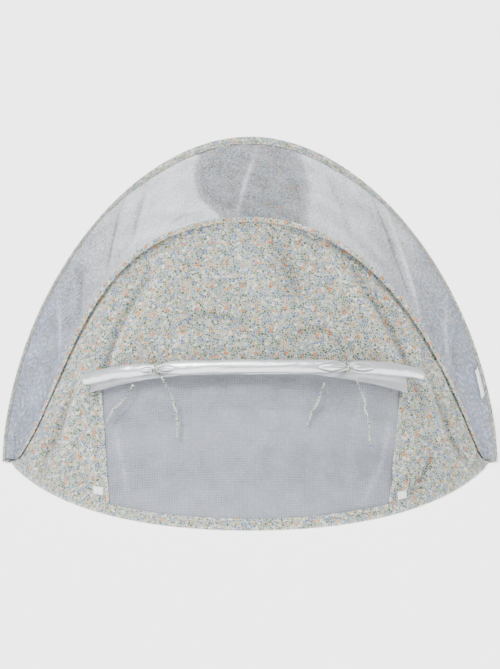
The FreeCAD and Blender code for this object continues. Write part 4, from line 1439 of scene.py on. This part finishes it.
class Tail(Enum):
    """The four loose ends of the ties: name, then real length and route, both in metres."""

    LEFT_OUTER = ("tie_tail_left_outer", 0.103, (
        (-0.258, -0.239, 0.266), (-0.268, -0.247, 0.246), (-0.288, -0.249, 0.226), (-0.310, -0.248, 0.205),
        (-0.316, -0.253, 0.185)))
    LEFT_INNER = ("tie_tail_left_inner", 0.140, (
        (-0.192, -0.285, 0.299), (-0.181, -0.293, 0.276), (-0.167, -0.291, 0.251), (-0.162, -0.302, 0.226),
        (-0.156, -0.314, 0.200), (-0.158, -0.325, 0.173)))
    RIGHT_OUTER = ("tie_tail_right_outer", 0.102, (
        (0.163, -0.262, 0.276), (0.154, -0.275, 0.254), (0.147, -0.287, 0.236), (0.132, -0.299, 0.219),
        (0.125, -0.311, 0.196)))
    RIGHT_INNER = ("tie_tail_right_inner", 0.161, (
        (0.232, -0.270, 0.290), (0.241, -0.275, 0.265), (0.252, -0.273, 0.240), (0.253, -0.283, 0.214),
        (0.262, -0.291, 0.188), (0.260, -0.301, 0.160), (0.267, -0.306, 0.140)))


@dataclass
class Ties:
    """Narrow tapes of the printed cloth, tied round the roll twice, each with a knot and two loose ends.

    facing is the way that the flat of the loose ends faces, before they twist.
    """

    cover: Cover
    width: float = 6 * MM
    thickness: float = 1.8 * MM
    facing: tuple[float, float, float] = (0.0, -0.9, 0.45)
    loop_points: int = 61
    knot_points: int = 91
    points_round: int = 15
    knot_size: float = 6.0 * MM
    knot_section: tuple[float, float] = (2.9 * MM, 1.7 * MM)

    def line_of(self, route: Sequence[tuple[float, float, float]]) -> Array:
        """Reads a smooth line from a route's spline."""
        curve = bpy.data.curves.new("route", "CURVE")
        curve.dimensions = "3D"
        curve.resolution_u = 16
        spline = curve.splines.new("NURBS")
        spline.points.add(len(route) - 1)
        for point, place in zip(spline.points, route):
            point.co = (*place, 1.0)
        spline.order_u = 3
        spline.use_endpoint_u = True
        holder = bpy.data.objects.new("route", curve)
        mesh = bpy.data.meshes.new_from_object(holder)
        line = np.array([v.co for v in mesh.vertices])
        bpy.data.objects.remove(holder)
        return line

    def tail(self, tail: Tail) -> bpy.types.Object:
        """Makes one loose end as a flat tape that twists a little.

        Args:
            tail: Which end.

        Returns:
            The tape.
        """
        name, length, route = tail.value
        line = self.line_of(route)
        far = run_length(line)
        ahead = unit(np.gradient(line, axis=0))
        facing = np.array(self.facing)
        out = unit(facing - ahead * (ahead @ facing)[:, None])
        side = np.cross(ahead, out)
        turn = 0.9 * np.sin(far / far[-1] * math.tau * 0.8 + len(name))[:, None]
        sides = side * np.cos(turn) + out * np.sin(turn)
        outs = out * np.cos(turn) - side * np.sin(turn)
        around = np.linspace(0, math.tau, 17)
        flat = np.sign(np.cos(around)) * self.width / 2 * np.abs(np.cos(around)) ** 0.6
        section = np.stack([flat, self.thickness / 2 * np.sin(around)], -1)
        section = np.broadcast_to(section, (len(line), 17, 2))
        piece = sweep_object(name + "_tape", line, sides, outs, section, Finish.PRINT)
        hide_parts(name)
        FRONT.bend(piece)
        return piece

    def loop(self, name: str, s: float) -> bpy.types.Object:
        """The tape's turn round the roll, drawn tight so that it bunches.

        Args:
            name: The piece's name.
            s: Where on the roll.

        Returns:
            The loop.
        """
        cover = self.cover
        spot = np.array([s])
        middle = cover.line(spot, cover.stand + cover.radius)[0]
        ahead = unit(np.gradient(cover.line(np.array([s - 0.01, s, s + 0.01]), 0.0), axis=0))[1]
        out = FRONT.outward(spot, cover.window.roll(spot))[0]
        up = np.cross(ahead, out)
        turn = np.linspace(0, math.tau, self.loop_points)
        reach = cover.radius * 0.72
        ring = middle + reach * (np.cos(turn)[:, None] * out + np.sin(turn)[:, None] * up)
        ring = ring + ahead * (2.2 * MM * np.sin(turn + 0.6))[:, None]
        outwards = unit(ring - middle)
        around = np.linspace(0, math.tau, self.points_round)
        half = self.width * (0.62 + 0.12 * np.cos(3 * turn))
        section = np.stack([half[:, None] * np.cos(around)[None],
                            1.3 * MM * np.sin(around)[None] * np.ones((self.loop_points, 1))
                            + 0.35 * MM * np.cos(5 * around)[None]], -1)
        sides = np.broadcast_to(ahead, ring.shape)
        return sweep_object(name, ring, sides, outwards, section, Finish.PRINT, cap=False)

    def knot(self, name: str, node: str) -> bpy.types.Object:
        """A tight overhand knot of flat tape.

        Args:
            name: The piece's name.
            node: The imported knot, which gives the place.

        Returns:
            The knot.
        """
        low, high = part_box(node)
        middle = np.array((low + high) / 2)
        turn = np.linspace(0, math.tau, self.knot_points)
        knot = np.stack([(np.sin(turn) + 2 * np.sin(2 * turn)), (np.cos(turn) - 2 * np.cos(2 * turn)),
                         -1.3 * np.sin(3 * turn)], -1) * self.knot_size / 3
        axes = np.array([[1, 0, 0], [0, 0.35, 0.94], [0, -0.94, 0.35]])
        line = middle + knot @ axes
        ahead = unit(np.roll(line[:-1], -1, axis=0) - np.roll(line[:-1], 1, axis=0))
        ahead = np.concatenate([ahead, ahead[:1]])
        outwards = unit(line - middle)
        outwards = unit(outwards - (outwards * ahead).sum(-1, keepdims=True) * ahead)
        sides = np.cross(ahead, outwards)
        around = np.linspace(0, math.tau, self.points_round)
        half, rise = self.knot_section
        section = np.stack([half * np.cos(around), rise * np.sin(around)], -1)
        section = np.broadcast_to(section, (self.knot_points, self.points_round, 2))
        return sweep_object(name, line, sides, outwards, section, Finish.PRINT, cap=False)

    def build(self) -> list[bpy.types.Object]:
        """Ties both tapes."""
        pieces = []
        for side, s in zip(("left", "right"), self.cover.ties):
            loop = self.loop(f"tie_loop_{side}_tape", s)
            knot = self.knot(f"tie_knot_{side}_tape", f"tie_knot_{side}")
            for piece, node in ((loop, f"tie_loop_{side}"), (knot, f"tie_knot_{side}")):
                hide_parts(node)
                FRONT.bend(piece)
                pieces.append(piece)
        return pieces + [self.tail(tail) for tail in Tail]


@dataclass
class Badges:
    """Small flat pieces sewn on: two hook-and-loop patches and a label at the right side."""

    panel: FrontPanel
    patches: tuple[tuple[str, float, float], ...] = (
        ("left", -0.448, 0.915), ("right", 0.453, 0.935))
    size: tuple[float, float] = (25 * MM, 17 * MM)
    label: tuple[float, float] = (18 * MM, 62 * MM)

    def patch(self, side: str, s: float, w: float) -> list[bpy.types.Object]:
        """Sews on one patch with stitches round its edge.

        Args:
            side: Left or right.
            s: Its place along the panel.
            w: Its place down the panel.

        Returns:
            The patch and its stitches.
        """
        beside = np.array([s - 0.01, s + 0.01])
        length = run_length(FRONT.at(beside, np.full(2, w)))[-1] / 0.02
        depth = FRONT.depth(np.array([s]))[0]
        across = np.linspace(-0.5, 0.5, 26) * self.size[0] / length
        down = np.linspace(-0.5, 0.5, 18)[:, None] * self.size[1] / depth
        ss, ws = np.broadcast_arrays(s + across, w + down)
        pile = 0.25 * MM * smooth_noise(FRONT.flat(ss, ws), 5 * MM, 51)
        points = self.panel.surface(ss, ws) + (1.9 * MM + pile)[..., None] * FRONT.outward(ss, ws)
        patch = grid_object(f"hook_loop_patch_{side}_tape", points, FRONT.flat(ss, ws), Finish.LOOP)
        thicken(patch, 1.5 * MM)
        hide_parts(f"hook_loop_patch_{side}")
        inset = [slice(2, -2), slice(2, -2)]
        box = points[inset[0], inset[1]]
        ring = np.concatenate([box[0], box[1:, -1], box[-1, -2::-1], box[-2::-1, 0]])
        out = np.broadcast_to(FRONT.outward(ss, ws)[9, 13], ring.shape)
        sewn = stitches(f"hook_loop_stitches_{side}", ring + out * 0.2 * MM, out, 3.2 * MM, 2.2 * MM)
        for piece in (patch, sewn):
            FRONT.bend(piece)
        return [patch, sewn]

    def side_label(self) -> bpy.types.Object:
        """The folded label at the right, sewn to the net beside the rear arch."""
        low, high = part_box("side_label")
        width, length = self.label
        z = np.linspace(high.z, low.z, 40)[:, None]
        across = np.linspace(0, 1, 10)
        down_arch = np.linspace(0.995, 0.3, 200)
        s = np.interp(z.ravel(), ARC_REAR.at(down_arch)[:, 2], down_arch)
        w = 10 * MM / ROOF.depth(s)
        rim = ROOF.at(s, w)
        inward = unit(ARC_FRONT.at(s) - ARC_REAR.at(s))
        out = ROOF.outward(s, w)
        curl = 4 * MM * np.sin(across * 2.4)[None, :, None]
        points = rim[:, None] + inward[:, None] * (across * width)[None, :, None] + out[:, None] * curl
        uv = np.stack(np.broadcast_arrays((across * width)[None], run_length(rim)[:, None]), -1)
        piece = grid_object("side_label_tape", points, uv, Finish.TAPE)
        thicken(piece, 0.5 * MM, 0.0)
        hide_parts("side_label")
        ROOF.bend(piece)
        return piece

    def build(self) -> list[bpy.types.Object]:
        """Sews on every badge."""
        made = [piece for patch in self.patches for piece in self.patch(*patch)]
        return [*made, self.side_label()]


@dataclass
class Wires:
    """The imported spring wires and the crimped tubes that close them, which keep their shape."""

    def build(self) -> list[bpy.types.Object]:
        """Gives the metal parts their finishes."""
        dressed = []
        for name, node in frame["nodes"].items():
            finish = {"wire": Finish.WIRE, "ferrule": Finish.CRIMP}.get(name.split("_")[-1])
            if finish is not None:
                node.data.materials.clear()
                node.data.materials.append(finish_of(finish))
                dressed.append(node)
        return dressed


@dataclass
class Studio:
    """A plain white floor and surroundings with soft light, and the camera.

    aim is the y and z of the point that the camera looks at, and side is half the floor's width.
    """

    distance: float = 3.5
    tilt: float = 14.0
    lens: float = 77.7
    glow: float = 1.9
    world: float = 0.60
    side: float = 400.0
    aim: tuple[float, float] = (0.088, 0.299)

    def sky(self, name: str, lean: tuple[float, float], strength: float, spread: float) -> None:
        """Adds a light that is the same everywhere: the wider it spreads, the softer its shadows.

        Args:
            name: The light's name.
            lean: How far its light travels towards +X and +Y for each metre down.
            strength: Its strength.
            spread: The angle that it fills, in degrees.
        """
        lamp = bpy.data.lights.new(name, "SUN")
        lamp.energy = strength
        lamp.angle = math.radians(spread)
        holder = bpy.data.objects.new(name, lamp)
        holder.rotation_euler = Vector((lean[0], lean[1], -1)).to_track_quat("-Z", "Y").to_euler()
        bpy.context.scene.collection.objects.link(holder)

    def build(self) -> None:
        """Sets the floor, the surrounding white, the lights and the camera."""
        side = self.side
        near, far = [[-side, -side, 0], [side, -side, 0]], [[-side, side, 0], [side, side, 0]]
        corners = np.array([near, far], float)
        floor = grid_object("studio_floor", corners[::-1] - [0, 0, 0.5 * MM], corners[..., :2], Finish.STAGE)
        glow = floor.data.materials[0].node_tree.nodes["Principled BSDF"].inputs
        glow["Emission Color"].default_value = (1.0, 1.0, 1.0, 1.0)
        glow["Emission Strength"].default_value = self.glow
        world = bpy.data.worlds.new("white_studio")
        world.use_nodes = True
        world.node_tree.nodes["Background"].inputs["Color"].default_value = (1.0, 1.0, 1.0, 1.0)
        world.node_tree.nodes["Background"].inputs["Strength"].default_value = self.world
        bpy.context.scene.world = world
        self.sky("overhead", (0.10, 0.35), 3.4, 50)
        self.sky("key", (0.55, 0.35), 2.6, 12)
        camera = bpy.data.cameras.new("camera")
        camera.lens = self.lens
        holder = bpy.data.objects.new("camera", camera)
        tilt = math.radians(self.tilt)
        y, z = self.aim
        holder.location = (0, -self.distance * math.cos(tilt) + y, self.distance * math.sin(tilt) + z)
        holder.rotation_euler = (math.radians(90 - self.tilt), 0, 0)
        bpy.context.scene.collection.objects.link(holder)
        bpy.context.scene.camera = holder


def main() -> None:
    """Builds the tent."""
    logging.basicConfig(level=logging.INFO, format="%(name)s: %(message)s")
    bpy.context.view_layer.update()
    Studio().build()
    cover, panel = Cover(), FrontPanel()
    steps: list[tuple[str, Callable[[], object]]] = [("ties", Ties(cover).build), ("wires", Wires().build)]
    for node, arc, toward, flange in (
            ("rear_ground_sleeve", ARC_REAR_GROUND, ARC_REAR, 16 * MM),
            ("rear_arch_sleeve", ARC_REAR, ARC_FRONT, 24 * MM),
            ("front_arch_sleeve", ARC_FRONT, ARC_FRONT_GROUND, 8 * MM),
            ("front_ground_sleeve", ARC_FRONT_GROUND, ARC_FRONT, 18 * MM)):
        sleeve = Sleeve(node, arc, toward, flange, thins=arc is ARC_REAR, seed=len(node))
        steps += [(node, sleeve.build), (node + " stitches", sleeve.sew)]
    rear = RearPanel()
    steps += [("front panel", panel.build), ("window binding", panel.bind), ("top mesh", TopMesh().build),
              ("window mesh", WindowMesh().build), ("rear panel", rear.build), ("label", rear.sew_label),
              ("rear floor", Floor("floor_rear", ARC_REAR_GROUND, False, 61).build),
              ("front floor", Floor("floor_front", ARC_FRONT_GROUND, True, 62).build),
              ("cover", cover.build), ("badges", Badges(panel).build)]
    for name, step in steps:
        step()
        log.info("made %s", name)


if __name__ == "__main__":
    main()
